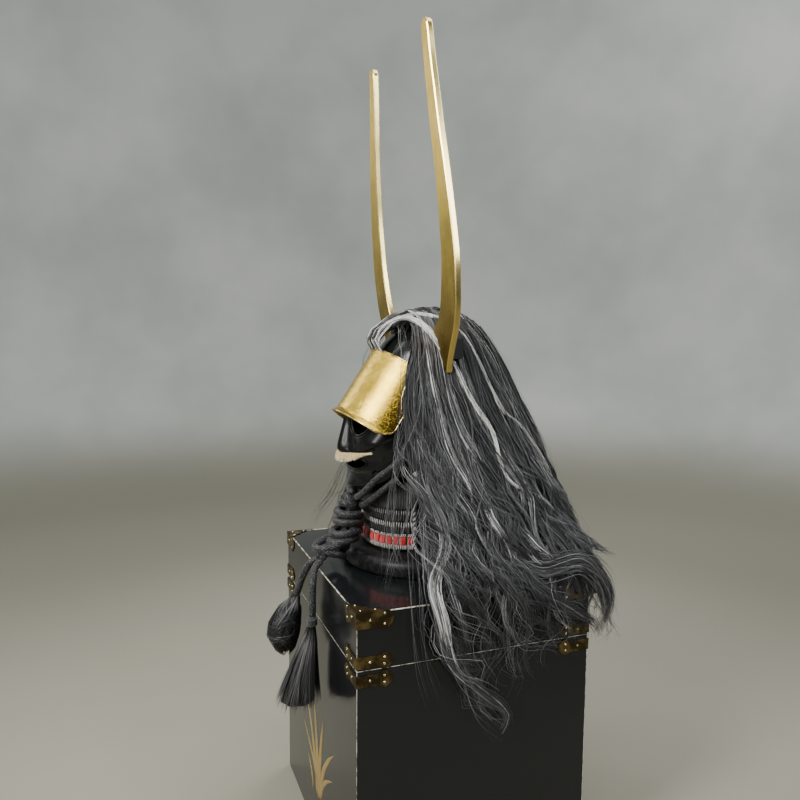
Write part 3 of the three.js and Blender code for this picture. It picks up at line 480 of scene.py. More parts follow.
def room():
    """A floor that rolls up into a far wall on every side."""
    profile = [(0.0, 0.0), (2.6, 0.0)]
    profile += [(2.6 + 1.4 * math.sin(a), 1.4 - 1.4 * math.cos(a)) for a in np.linspace(0.1, math.pi / 2, 12)]
    profile += [(4.0, 5.0)]
    turns = np.linspace(0, 2 * math.pi, 73)[:-1]
    rings = np.array([[[r * math.cos(a), r * math.sin(a), z - 0.0005] for a in turns] for r, z in profile])
    mesh = bpy.data.meshes.new("studio_floor")
    faces = grid_faces(len(profile), len(turns), closed_columns=True)
    mesh.from_pydata(rings.reshape(-1, 3).tolist(), [], faces.tolist())
    mesh.shade_smooth()
    floor = bpy.data.objects.new("studio_floor", mesh)
    bpy.context.scene.collection.objects.link(floor)
    paper = Finish("pale_paper")
    cloud = paper.noise(paper.place(), 0.9, 4.0, 0.6)
    height = paper.node("ShaderNodeSeparateXYZ", {}, paper.place(), out="Z")
    # The paper is painted in steps of brightness: lighter near the middle of the floor, darker further out, and
    # lighter again up the wall. These steps are painted light and shade over a cloudy noise.
    wall = paper.blend((0.33, 0.35, 0.335), (0.45, 0.465, 0.45), cloud.steps(0.3, 0.7))
    out = paper.node("ShaderNodeVectorMath", {"operation": "LENGTH"}, paper.place((1, 1, 0)), out="Value")
    near = paper.blend((0.29, 0.28, 0.225), (0.37, 0.355, 0.29), cloud)
    ground = paper.blend(near, (0.175, 0.172, 0.135), out.steps(0.5, 1.9))
    pale = paper.blend(ground, wall, height.steps(0.0, 0.4))
    mesh.materials.append(paper.surface(Base_Color=pale, Roughness=0.85))
    floor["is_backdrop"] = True
    return floor


def drape(name, spots, height):
    """A dark cloth behind the camera. Lacquer that faces it stays black."""
    line = smooth_line(spots, 40)
    points = np.concatenate([np.column_stack([line, np.full(40, z)]) for z in (0.02, height)])
    mesh = bpy.data.meshes.new(name)
    mesh.from_pydata(points.tolist(), [], grid_faces(2, 40).tolist())
    made = bpy.data.objects.new(name, mesh)
    bpy.context.scene.collection.objects.link(made)
    cloth = Finish(name)
    weave = cloth.noise(cloth.place(), 300.0, 2.0)
    black = cloth.blend((0.02, 0.02, 0.02), (0.04, 0.04, 0.04), weave)
    mesh.materials.append(cloth.surface(Base_Color=black, Roughness=0.9))
    made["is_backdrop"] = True


room()
drape("dark_drape", [(1.9, -2.2), (2.5, -1.2), (2.7, 0.2), (2.5, 1.6), (1.9, 2.6)], 2.4)
print("eight lights, a rolled floor and a dark drape")

# %% [markdown]
# ## Braided cord
#
# The chin cord is a round silk braid. In a braid, one set of strands winds to the left, the other
# to the right, and each goes over one and under the next. The skin of a tube can follow that: at
# every point the height is that of the strand on top there. So the weave is real relief, and its
# light catches on each crossing.

# %% Braid
CORD = 12.5
CHIN_STRAND = [(9, -126, 117), (27, -127, 121), (50, -121, 138), (72, -109, 160), (91, -87, 184), (99, -72, 212),
               (98, -62, 245), (86, -54, 270), (81, -52, 284.7)]
INNER_STRAND = [(9, -117, 106), (26, -120, 106), (46, -113, 118), (66, -101, 136), (84, -82, 158)]
CORD_END_LEFT = [(20, -190, 17), (27, -203, 6), (33, -208, -14), (37, -210, -36), (41, -211, -56), (42, -212, -70)]
CORD_END_RIGHT = [(6, -190, 17), (0, -205, 6), (-10, -212, -12), (-20, -216, -30), (-30, -218, -46), (-35, -220, -56)]


def braid(path, width, carriers=8, sides=28, step=1.5):
    """A braided cord along a path: points, faces and marks of its crossings."""
    path = smooth_line(path, max(12, int(length_of(path) / step)))
    _, side, other = frames_along(path)
    along = np.concatenate([[0], np.cumsum(np.linalg.norm(np.diff(path, axis=0), axis=1))])[:, None]
    angle = (np.arange(sides) * 2 * math.pi / sides)[None]
    cell = math.pi * width / carriers * 1.15
    u = carriers * angle / (2 * math.pi) + along / cell
    v = carriers * angle / (2 * math.pi) - along / cell
    over_u = 0.9 * np.cos(math.pi * (v - 0.5)) * np.cos(math.pi * np.floor(u))
    over_v = 0.9 * np.cos(math.pi * (u - 0.5)) * np.cos(math.pi * np.floor(v))
    right_way = (1 - (2 * (u % 1) - 1) ** 2) ** 0.5 + over_u
    left_way = (1 - (2 * (v % 1) - 1) ** 2) ** 0.5 - over_v
    height = np.clip(np.maximum(right_way, left_way) / 1.9, 0, 1)
    radius = width / 2 - 0.95 * (1 - height)
    share = along / along[-1]
    radius = radius * (0.55 + 0.45 * np.minimum(1, np.minimum(share, 1 - share) * along[-1] / (0.3 * width)) ** 0.5)
    spoke = side[:, None] * np.cos(angle)[..., None] + other[:, None] * np.sin(angle)[..., None]
    points, faces = rings_closed(path[:, None] + spoke * radius[..., None])
    tail = np.zeros(2)
    thread_line = np.where(right_way > left_way, u, v)
    marks = {"crown": np.concatenate([height.ravel(), tail]), "thread": np.concatenate([thread_line.ravel(), tail])}
    return points, faces, marks


def cord_finish(name, dark, light, rough=0.6):
    f = Finish(name)
    crown = f.mark("crown")
    fibre = f.noise(f.place(), 900.0, 3.0, 0.6)
    cloud = f.noise(f.place(), 520.0, 1.0, 0.4)
    # The colour is painted lighter on the crowns of the crossings and darker where the strands dip: painted highlight
    # and painted shade on the relief, under grey flecks of noise.
    lit = (crown - 0.70 + (fibre - 0.5) * 0.6 + (cloud - 0.5) * 2.6).steps(0.0, 0.45)
    normal = f.bump(fibre, 0.0006, 0.5)
    return f.surface(Base_Color=f.blend(dark, light, lit), Roughness=rough, Normal=normal, Sheen_Weight=0.15)


black_braid = cord_finish("black_braid", (0.004, 0.004, 0.005), (0.12, 0.12, 0.128))


def braided(name, path, width, slot="black_cord", replaced=(), **how):
    points, faces, marks = braid(path, width, **how)
    made = piece(name, points, faces, black_braid, replaced, marks=marks)
    print(name, round(length_of(path)), "mm,", 2 * len(faces), "triangles")
    return made


def free_cord(path, parts=()):
    """Works out the cord's length in metres along its smoothed path; the result is not kept."""
    fine = metres(smooth_line(path, 40))
    length_of(fine)
    list(parts)


def other_side(path):
    return [(-x, y, z) for x, y, z in path]


for side, name in ((1, "left"), (-1, "right")):
    chin = CHIN_STRAND if side > 0 else other_side(CHIN_STRAND)
    inner = INNER_STRAND if side > 0 else other_side(INNER_STRAND)
    strand = braided(f"chin_braid_{name}", chin, 11.0, "black_cord", [f"chin_cord_{name}"])
    free_cord(chin)
    strand = braided(f"inner_braid_{name}", inner, 11.0, "black_cord", [f"inner_cord_{name}"])
    free_cord(inner)

# %% [markdown]
# In the knot the cord winds round its own two strands. A row gives each turn its centre, its half
# sizes and its tilts. The turns join at the back, where one row blends into the next, so the cord
# really is one length from the top of the knot to the last loop.

# %% Knot
WRAPS = table(
    "y z x wide deep pitch roll",
    (-136, 113, 8, 11, 9, -42, 12),
    (-141, 104, 9, 13, 12, -24, -8),
    (-140, 92, 10, 20, 20, -4, 4),
    (-141, 77, 10, 21, 21, -2, -3),
    (-144, 62, 10, 22, 24, 10, 3),
    (-148, 47, 11, 20, 25, 8, -4),
    (-170, 43, 12, 17, 29, 14, 10),
    (-171, 25, 16, 14, 20, -20, -14),
)


def coil(rows, join=0.16, steps=64):
    """One line that makes a turn for each row."""
    line = []
    for here, onward in zip(rows, [*rows[1:], rows[-1]]):
        for t in np.arange(steps) / steps:
            near = eased(1 - join, 1, t) * 0.5 if onward is not here else 0.0
            at = {k: here[k] * (1 - near) + onward[k] * near for k in here}
            if here is not rows[0] and t < join:
                before = rows[[k is here for k in rows].index(True) - 1]
                back = 0.5 * (1 - eased(0, join, t))
                at = {k: here[k] * (1 - back) + before[k] * back for k in here}
            turn = math.pi / 2 + 2 * math.pi * t
            ring = Vector((at["wide"] * math.cos(turn), at["deep"] * math.sin(turn), 0))
            pitch = Matrix.Rotation(math.radians(at["pitch"]), 3, "X")
            roll = Matrix.Rotation(math.radians(at["roll"]), 3, "Y")
            line.append(tuple(pitch @ roll @ ring + Vector((at["x"], at["y"], at["z"]))))
    return line


knot_line = coil(WRAPS)
knot = braided("knot_braid", knot_line, CORD, "black_cord", ["cord_knot"])
core_lines = [[(4, -128, 117), (5, -138, 92), (6, -146, 60), (4, -166, 38), (5, -182, 27), (6, -190, 17)],
              [(15, -130, 117), (15, -140, 92), (16, -148, 60), (18, -168, 36), (18, -182, 26), (20, -190, 17)]]
for k, line in enumerate(core_lines):
    braided(f"knot_core_{k + 1}", line, CORD, sides=24, step=1.6)

# %% [markdown]
# ## Lacquer
#
# Black lacquer is a smooth coat over wood: almost a mirror, but with long hairline scratches, a
# breath of dust and a slight waviness. The scratches are noise stretched a hundred times along
# one direction, and they change the roughness more than the colour.

# %% Lacquer finishes
def lacquer(name, tint, gloss, scratch, dust):
    f = Finish(name)
    fine = f.noise(f.place((6, 240, 240), (0.35, 0.2, 0.9)), 4.0, 4.0, 0.7)
    cross = f.noise(f.place((260, 9, 200), (0.1, 0.5, 0.3)), 3.0, 4.0, 0.7)
    lines = (fine.steps(0.66, 0.74) + cross.steps(0.70, 0.76)).clamped()
    cloud = f.noise(f.place(), 7.0, 5.0, 0.6)
    specks = 1 - f.cells(f.place(), 420.0).steps(0.05, 0.11)
    dusty = (specks * cloud.steps(0.5, 0.62) * dust).clamped()
    colour = f.blend(tint, (0.11, 0.115, 0.11), (lines * scratch + dusty).clamped())
    rough = gloss + cloud * 0.06 + lines * 0.18 + dusty * 0.4
    wave = f.noise(f.place(), 11.0, 2.0)
    normal = f.bump(wave, 0.0016, 0.25)
    return f.surface(Base_Color=colour, Roughness=rough.clamped(), Normal=normal, Specular_IOR_Level=0.36)


box_black = lacquer("box_lacquer", (0.010, 0.011, 0.012), 0.11, 0.18, 0.5)
# This pale edge finish is a painted highlight along the edges, broken up by noise so that it looks rubbed.
wear_and_sheen = Finish("edge_painted_highlight")
highlight_break = wear_and_sheen.noise(wear_and_sheen.place((1, 1, 1)), 90.0, 4.0, 0.7)
edge_highlight_colour = wear_and_sheen.blend((0.12, 0.11, 0.09), (0.92, 0.86, 0.72), highlight_break.steps(0.40, 0.58))
edge_highlight = wear_and_sheen.surface(Base_Color=edge_highlight_colour, Roughness=0.34)
print("lacquer and its worn edge")

# %% [markdown]
# ## Armour box
#
# The box is boards with crisp edges and a lid that lifts off. Its shape is already right in the
# frame, so a copy with a small bevel is enough. The bevel has a finish of its own, a pale painted
# highlight broken up by noise like wear, and that line of light is what shows the shape.

# %% Box and lid
for node, name in (("box_body", "lacquered_box"), ("box_lid", "lacquered_lid")):
    bevelled(dressed_copy(node, name, [box_black, edge_highlight]), 0.0013, 2, finish=1)
lid_low, lid_high = (v * 1000 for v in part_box("box_lid"))
body_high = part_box("box_body")[1] * 1000
lid_low, lid_high, body_high = ([round(float(x), 2) for x in v] for v in (lid_low, lid_high, body_high))


def edge_line_round(reach, z, width):
    """A thin line of painted highlight along the four edges of the box at one level."""
    x, y = reach[0] - 0.45, reach[1] - 0.45
    corners = [(x, -y), (x, y), (-x, y), (-x, -y)]
    return [tube(np.linspace((*a, z), (*b, z), 30), width, 8) for a, b in zip(corners, corners[1:] + corners[:1])]


# Thin pale tubes along the lid's upper and lower edges and down the corners carry the same painted highlight.
highlight_lines = edge_line_round(lid_high, lid_high[2] - 0.45, 1.05) + edge_line_round(lid_high, lid_low[2] + 0.35, 0.5)
for sx, sy in ((1, -1), (1, 1), (-1, -1), (-1, 1)):
    x, y = sx * (lid_high[0] - 0.45), sy * (lid_high[1] - 0.45)
    highlight_lines.append(tube(np.linspace((x, y, 2), (x, y, lid_high[2] - 2), 60), 0.42, 8))
highlight_points, highlight_faces = merged(highlight_lines)
piece("painted_highlight_lines", highlight_points, highlight_faces, edge_highlight, above=0.0)
print("box and lid copied with worn edges; lid from", lid_low[2], "to", lid_high[2])

# %% [markdown]
# The box front carries a gold device. A plain spray of reeds in brush strokes stands there: each
# stroke is a thin gold lens, wide in its middle and pointed at its ends, laid on the lacquer.

# %% Gold spray on the box front
REEDS = table(
    "x z bend tall wide",
    (-6, -408, -70, 150, 15),
    (4, -410, -26, 172, 17),
    (12, -408, 30, 160, 16),
    (20, -405, 84, 128, 14),
    (-2, -400, -96, 82, 11),
    (26, -398, 66, 70, 10),
    (-30, -412, -34, 46, 8),
    (44, -412, 36, 40, 8),
)


def brush_stroke(reed, steps=28, across=6):
    """One gold stroke: a low ridge that bends over as it rises."""
    share = np.linspace(0, 1, steps)
    line = np.stack([reed["x"] + reed["bend"] * share**1.9, reed["z"] + reed["tall"] * share**0.92], 1)
    way = unit(np.gradient(line, axis=0))
    beside = np.stack([-way[:, 1], way[:, 0]], 1)
    swell = np.sin(math.pi * share**0.7) ** 0.8 * (1 - 0.25 * np.sin(9 * share + reed["tall"]) ** 2 * share)
    half = reed["wide"] / 2 * swell + 0.25
    over = np.linspace(-1, 1, across)
    flat = line[:, None] + beside[:, None] * (half[:, None] * over[None])[..., None]
    front = -193.25 - 0.55 * (1 - over**2)[None] * np.minimum(1, half / 3)[:, None]
    outer = np.stack([flat[..., 0], front, flat[..., 1]], -1)
    inner = np.stack([flat[..., 0], np.full(front.shape, -193.05), flat[..., 1]], -1)
    return walled(outer, inner)


leaf = Finish("gold_leaf")
grain = leaf.noise(leaf.place((1, 1, 1)), 60.0, 6.0, 0.65)
leaf_colour = leaf.blend((0.52, 0.36, 0.12), (0.82, 0.62, 0.28), grain)
leaf_normal = leaf.bump(grain, 0.0006, 0.5)
leaf_rough = grain * 0.2 + 0.32
gold_leaf = leaf.surface(Base_Color=leaf_colour, Metallic=0.85, Roughness=leaf_rough, Normal=leaf_normal)
spray_points, spray_faces = merged([brush_stroke(reed) for reed in REEDS])
piece("gold_spray", spray_points, spray_faces, gold_leaf)
print("gold spray of", len(REEDS), "strokes")

# %% [markdown]
# ## Corner fittings
#
# Sheet brass, pinned over the corners. Old brass is nearly brown in its flats and bright where
# hands rub it, so the flats and the bevelled edges get different finishes.

# %% Brass finishes
def brass(name, dark, bright, low, rough):
    f = Finish(name)
    cloud = f.noise(f.place(), 46.0, 6.0, 0.65)
    spots = 1 - f.cells(f.place(), 310.0).steps(0.1, 0.35)
    wear_and_sheen = (cloud.steps(low, low + 0.28) - spots * 0.35).clamped()
    colour = f.blend(dark, bright, wear_and_sheen)
    normal = f.bump(cloud, 0.0008, 0.35)
    return f.surface(Base_Color=colour, Metallic=0.92, Roughness=(rough - wear_and_sheen * 0.14), Normal=normal)


brass_flat = brass("aged_brass", (0.045, 0.032, 0.013), (0.24, 0.17, 0.065), 0.40, 0.50)
brass_edge = brass("rubbed_brass", (0.55, 0.43, 0.20), (1.0, 0.88, 0.56), 0.26, 0.30)
CORNERS = [(e, s) for e in ("front", "back") for s in ("left", "right")]
for kind in ("lid_cap", "lid_strap", "body_strap"):
    for end, side in CORNERS:
        node = f"{kind}_{end}_{side}"
        bevelled(dressed_copy(node, f"brass_{node}", [brass_flat, brass_edge], 20), 0.0006, 2, 25, 1)
print("twelve brass fittings")

# %% [markdown]
# Three domed rivets hold each arm. They are turned on a lathe: a few rings, from the plate up to
# the middle of the dome. One mesh carries them all.

# %% Rivets
def dome(centre, out, radius=2.0, height=1.25, sides=12):
    """A low round head that stands on a plate and points outwards."""
    out = np.asarray(out, float)
    first = np.array([0.0, 0.0, 1.0]) if abs(out[2]) < 0.5 else np.array([1.0, 0.0, 0.0])
    second = np.cross(out, first)
    angle = np.arange(sides) * 2 * math.pi / sides
    profile = [(0.9, -0.2), (1.0, 0.0), (0.92, 0.45), (0.66, 0.82), (0.32, 0.97)]
    spoke = first * np.cos(angle)[:, None] + second * np.sin(angle)[:, None]
    rings = np.stack([centre + spoke * (radius * r) + out * (height * h) for r, h in profile])
    return rings_closed(rings)


BRASS_FACE = {"x": BOX_HALF_X + 0.3 + 1.2, "y": BOX_HALF_Y + 0.3 + 1.2}
STRAP_LEVELS = {"cap": -10.5, "lid": -72.25, "body": -99.75}
RIVET_SPOTS = [(21, 0.0), (43, 6.6), (43, -6.6)]
rivets = []
for level, z in STRAP_LEVELS.items():
    spread = 1.2 if level == "cap" else 0.75
    for along, across in RIVET_SPOTS:
        height = z + across * spread
        for sx in (1, -1):
            for sy in (1, -1):
                corner = np.array([sx * BRASS_FACE["x"], sy * BRASS_FACE["y"], height])
                rivets.append(dome(corner - [0, sy * along, 0], (sx, 0, 0)))
                rivets.append(dome(corner - [sx * along, 0, 0], (0, sy, 0)))
for sx in (1, -1):
    for sy in (1, -1):
        for dx, dy in ((9, 9), (31, 8), (8, 31)):
            spot = [sx * (BRASS_FACE["x"] - dx), sy * (BRASS_FACE["y"] - dy), 1.5]
            rivets.append(dome(np.array(spot), (0, 0, 1), 1.7))
rivet_points, rivet_faces = merged(rivets)
piece("brass_rivets", rivet_points, rivet_faces, brass_edge)
print(len(rivets), "rivets")

# %% [markdown]
# ## Stand
#
# The foot and post are turned and painted satin black. The frame's solid has flats, so the foot
# gets a skin from the same profile with more sides, and the post and bars stay a copy.

# %% Stand
satin = Finish("satin_black")
fleck = satin.noise(satin.place(), 160.0, 4.0, 0.6)
satin_colour = satin.blend((0.008, 0.008, 0.009), (0.03, 0.03, 0.03), fleck.steps(0.45, 0.75))
satin_rough = fleck * 0.15 + 0.30
satin_normal = satin.bump(fleck, 0.0003, 0.3)
satin_black = satin.surface(
    Base_Color=satin_colour, Specular_IOR_Level=0.22, Roughness=satin_rough, Normal=satin_normal)
bevelled(dressed_copy("stand", "display_stand", satin_black, 35), 0.0008)
FOOT = [
    (134, 0.6), (139, 3.5), (140.2, 6), (140.2, 17), (139, 22), (136, 26.2), (128, 31.2), (116, 33.2),
    (36, 33.2), (26.2, 41),
]
turn = np.arange(96) * 2 * math.pi / 96
foot_rings = np.array([np.stack([r * np.cos(turn), r * np.sin(turn), np.full(96, z)], 1) for r, z in FOOT])
foot_points, foot_faces = rings_closed(foot_rings)
foot = piece("turned_foot", foot_points, foot_faces, satin_black)
foot.data.set_sharp_from_angle(angle=math.radians(50))
print("stand copied, with a turned foot")

# %% [markdown]
# ## Helmet bowl
#
# The bowl is a plain dome, so a finer version of the same rings gives a clean highlight. Its plan
# is two half ellipses, and its rise follows a rounded power curve.

# %% Bowl
BOWL = {"y": 10, "half": 95, "front": 106, "back": 115, "rim": 300, "height": 107, "skirt": 15, "round": 2.3}


def bowl_grid(offset, turns=96, steps=28):
    """Rings of the bowl from the skirt to the crown."""
    angle = np.arange(turns) * 2 * math.pi / turns
    depth = np.where(np.sin(angle) > 0, BOWL["back"], BOWL["front"])
    lift = np.concatenate([[0], np.sin(np.linspace(0, math.pi / 2, steps)) * 0.999])
    share = (1 - lift ** BOWL["round"]) ** (1 / BOWL["round"])
    z = BOWL["rim"] + lift * (BOWL["height"] + offset)
    z[0] = BOWL["rim"] - BOWL["skirt"]
    x = (BOWL["half"] * share[:, None] + offset * share[:, None]) * np.cos(angle)
    y = BOWL["y"] + (depth * share[:, None] + offset * share[:, None]) * np.sin(angle)
    return np.stack([x, y, np.broadcast_to(z[:, None], x.shape)], -1)


bowl_rings = np.concatenate([bowl_grid(-2.5)[::-1], bowl_grid(0)])
bowl_black = lacquer("bowl_lacquer", (0.010, 0.013, 0.011), 0.16, 0.1, 0.2)
bowl_points, bowl_faces = rings_closed(bowl_rings)
# The bowl's bevelled rim takes the pale edge finish, a painted highlight.
bowl = piece("smooth_bowl", bowl_points, bowl_faces, [bowl_black, edge_highlight], ["helmet_bowl"])
bevelled(bowl, 0.0006, 2, 50, 1)
print("bowl with", len(bowl_faces), "faces")

# %% [markdown]
# ## Gilt plates
#
# The brow plate is a bent sheet with a brushed gilt face. Brushed metal has fine streaks that run
# one way. Here they run round the curve, so each point of the mesh carries how far round and how
# far down the plate it lies, and the streaks are noise stretched along the first of the two.

# %% Gilt finishes
def gilt(name, dark, bright, streaked, rough):
    f = Finish(name)
    round_way, down_way = f.mark("round_mm"), f.mark("down_mm")
    fine = f.noise(f.joined(round_way * 0.035, down_way * 1.5), 1.0, 4.0, 0.7)
    broad = f.noise(f.joined(round_way * 0.012, down_way * 0.16), 1.0, 3.0, 0.6)
    cloud = f.noise(f.place(), 24.0, 6.0, 0.7)
    pits = 1 - f.cells(f.place(), 420.0).steps(0.14, 0.42)
    towards_rear = f.node("ShaderNodeMath", {"operation": "ABSOLUTE"}, round_way).steps(76.0, 108.0)
    low_down = down_way.steps(86.0, 116.0) * 0.6
    pitted = (pits * (cloud + towards_rear * 0.26 + low_down * 0.2).steps(0.56, 0.72)).clamped()
    glow = (fine * 0.5 * streaked + broad * 0.35 + cloud * 0.45).steps(0.30, 0.85)
    colour = f.blend(dark, bright, (glow - pitted * 0.6).clamped())
    height = fine * 0.6 * streaked + cloud * 0.5 - pitted * 0.5
    normal = f.bump(height, 0.0007, 0.6)
    roughness = (rough + fine * 0.14 * streaked + pitted * 0.2).clamped()
    return f.surface(Base_Color=colour, Metallic=1.0, Roughness=roughness, Normal=normal)


gilt_face = gilt("brushed_gilt", (0.26, 0.165, 0.015), (0.98, 0.67, 0.09), 1.0, 0.17)
# The rolled rim of the brow plate takes this brighter copy of the gilt: a painted highlight.
gilt_rim_highlight = gilt("gilt_painted_highlight", (0.85, 0.62, 0.18), (1.0, 0.88, 0.42), 0.2, 0.18)
print("gilt finishes")

# %% Brow plate
VISOR = {"radius": 92, "thick": 2.5, "top_y": -90, "top_z": 364, "lean": math.radians(33.3), "lip": 5}
VISOR_EDGE = table(
    "down wrap",
    (0, 60),
    (14, 61),
    (36, 63),
    (54, 66),
    (66, 70),
    (72, 73),
    (75, 77),
    (104, 77.5),
    (112, 75.5),
    (117, 71),
    (122, 62),
)
DOWN = np.array([0, -math.sin(VISOR["lean"]), -math.cos(VISOR["lean"])])
OUT = np.array([0, -math.cos(VISOR["lean"]), math.sin(VISOR["lean"])])


def visor_point(angle, down, inward=0.0):
    """A point of the plate, from its angle round the brow and its distance down from the top."""
    angle, down = np.broadcast_arrays(np.asarray(angle, float), np.asarray(down, float))
    flare = VISOR["lip"] * np.maximum(0, (down - 112) / 10) ** 1.6
    radius = VISOR["radius"] - inward + flare
    along = OUT * (radius * np.cos(angle) - VISOR["radius"])[..., None] + DOWN * down[..., None]
    point = along + [0, VISOR["top_y"], VISOR["top_z"]]
    point[..., 0] = radius * np.sin(angle)
    return point


def visor_outline(turns=64):
    """Distances down and half angles along one side of the plate."""
    down = np.unique(np.concatenate([np.linspace(0, 122, turns), [row["down"] for row in VISOR_EDGE]]))
    wrap = between(VISOR_EDGE, "wrap", down, "down")
    spread = np.exp(-(((down[:, None] - down[None]) / 1.6) ** 2))
    soft = (spread * wrap[None]).sum(1) / spread.sum(1)
    return down, np.radians(np.where((down < 3) | (down > 119), wrap, soft))


edge_down, edge_wrap = visor_outline()
shares = np.linspace(-1, 1, 121)
angles = edge_wrap[:, None] * shares[None]
downs = np.broadcast_to(edge_down[:, None], angles.shape)
visor_points, visor_faces = walled(visor_point(angles, downs), visor_point(angles, downs, VISOR["thick"]))
visor_marks = {
    "round_mm": np.tile((angles * VISOR["radius"]).ravel(), 2),
    "down_mm": np.tile(downs.ravel(), 2),
}
piece("brow_plate", visor_points, visor_faces, gilt_face, ["visor"], marks=visor_marks)

rim_down = np.concatenate([edge_down, np.full(60, 122.0), edge_down[::-1], np.full(60, 0.0)])
rim_angle = np.concatenate([
    edge_wrap, np.linspace(edge_wrap[-1], -edge_wrap[-1], 60), -edge_wrap[::-1],
    np.linspace(-edge_wrap[0], edge_wrap[0], 60),
])
rim_line = smooth_line(visor_point(rim_angle, rim_down, 1.1)[::2], 420)
rim_points, rim_faces = tube(rim_line, 1.75, 8)
rim_marks = {"round_mm": np.zeros(len(rim_points)), "down_mm": rim_points[:, 2]}
piece("brow_plate_rim", rim_points, rim_faces, gilt_rim_highlight, marks=rim_marks)

flange_angle = np.radians(np.linspace(-59, 59, 80))
flange = []
for down in (0.4, 2.4):
    outer = visor_point(flange_angle, down, 1.0)
    inner = outer * [0.55, 1, 1] + OUT * (-34.0)
    flange.append(np.stack([outer, inner]))
flange_points, flange_faces = walled(flange[0], flange[1])
flange_marks = {"round_mm": flange_points[:, 0], "down_mm": flange_points[:, 1]}
piece("brow_plate_flange", flange_points, flange_faces, gilt_face, marks=flange_marks)
print("brow plate", len(visor_faces), "faces")

# %% [markdown]
# ## Horns
#
# Each horn is sawn from a board to a long blade, gilded, and fixed so that its flat faces forward.
# A table of heights gives the inner and outer edge. Smooth curves through the table avoid the
# corners that straight steps would leave, and a narrow bevel catches the light all the way up.
# The sides and the bevel are also coloured a brighter gilt than the faces: a painted highlight.

# %% Horns
HORN = table(
    "z inner outer front",
    (331, 121, 124, -15),
    (337, 116, 127, -15.6),
    (345, 111, 129, -16.3),
    (367, 95, 141, -18.3),
    (388, 82, 154, -20.3),
    (400, 87, 161, -21.4),
    (418, 107, 168, -23),
    (443, 119, 175, -25.4),
    (500, 132, 181.5, -30.7),
    (550, 134.5, 178.5, -35.3),
    (600, 134, 173, -40),
    (650, 130, 165.5, -44.5),
    (700, 125, 157, -49),
    (750, 119, 148, -52.4),
    (800, 113, 139, -55.7),
    (840, 109.5, 134, -58.4),
    (850, 111, 131.5, -59.1),
    (856, 115, 127, -59.5),
)
HORN_THICK = 10.0


def horn_blade(side):
    """The blade of one side: points and faces."""
    rows = smooth_line([[r["z"], r["inner"], r["outer"], r["front"]] for r in HORN], 150)
    b = 1.5
    rings = []
    for z, inner, outer, front in rows:
        back = front + HORN_THICK
        b_here = min(b, (outer - inner) / 3)
        outline = [
            (inner + b_here, front), (outer - b_here, front), (outer, front + b_here), (outer, back - b_here),
            (outer - b_here, back), (inner + b_here, back), (inner, back - b_here), (inner, front + b_here),
        ]
        rings.append([[side * x, y, z] for x, y in outline])
    points, faces = rings_closed(np.array(rings))
    return points, faces if side > 0 else faces[:, ::-1]


def gilt_board(name, dark, bright, rough, grain):
    """Gilding over wood: soft, with faint brush lines along the blade, and darker towards its foot, with a crackle
    there.
    """
    f = Finish(name)
    lines = f.noise(f.place((210, 210, 5)), 1.0, 3.0, 0.6)
    cloud = f.noise(f.place(), 17.0, 6.0, 0.65)
    height = f.node("ShaderNodeSeparateXYZ", {}, f.node("ShaderNodeTexCoord", out="Object"), out="Z")
    foot = 1 - height.steps(0.85, 0.97)
    crackle = f.cells(f.place(), 260.0).steps(0.1, 0.5)
    shade = (lines * 0.35 + cloud * 0.5 - foot * (0.16 + crackle * 0.22)).steps(0.12, 0.72)
    colour = f.blend(dark, bright, shade)
    normal = f.bump(lines * grain + crackle * foot * 0.9, 0.0005, 0.3)
    roughness = (rough + cloud * 0.1 + foot * 0.1).clamped()
    return f.surface(Base_Color=colour, Metallic=1.0, Roughness=roughness, Normal=normal)


horn_face = gilt_board("gilt_board", (0.25, 0.17, 0.022), (0.70, 0.50, 0.085), 0.33, 0.3)
horn_side_highlight = gilt_board("gilt_board_painted_highlight", (0.72, 0.53, 0.16), (1.0, 0.84, 0.38), 0.2, 0.1)
for side, name in ((1, "left"), (-1, "right")):
    points, faces = horn_blade(side)
    blade = piece(f"gilt_horn_{name}", points, faces, [horn_face, horn_side_highlight], [f"horn_{name}"])
    blade.data.set_sharp_from_angle(angle=math.radians(25))
    # The sides and bevels, every face that doesn't look forward or back, take the brighter copy of the gilt: a
    # painted highlight.
    flat = np.array([abs(p.normal[1]) > 0.97 for p in blade.data.polygons])
    blade.data.polygons.foreach_set("material_index", (~flat).astype(np.int32))

steel = Finish("dark_steel")
steel_cloud = steel.noise(steel.place(), 70.0, 5.0, 0.6)
steel_colour = steel.blend((0.008, 0.008, 0.009), (0.035, 0.035, 0.037), steel_cloud)
steel_normal = steel.bump(steel_cloud, 0.0004, 0.4)
steel_rough = steel_cloud * 0.2 + 0.5
dark_steel = steel.surface(Base_Color=steel_colour, Metallic=0.4, Roughness=steel_rough, Normal=steel_normal)
for name in ("left", "right"):
    bevelled(dressed_copy(f"horn_socket_{name}", f"horn_bracket_{name}", dark_steel), 0.001)
print("horns and brackets")

# %% [markdown]
# ## Face mask
#
# A half mask is beaten from thin sheet and lacquered like the box. It is one grid from the jaw up
# to the nose bridge: each level has a half width, a front and a rear, and a rounded plan. The nose,
# the cheeks and the creases are then pushed out of it by smooth bumps, which is how the sheet is
# worked on the real one. Its face is a plain, calm type.

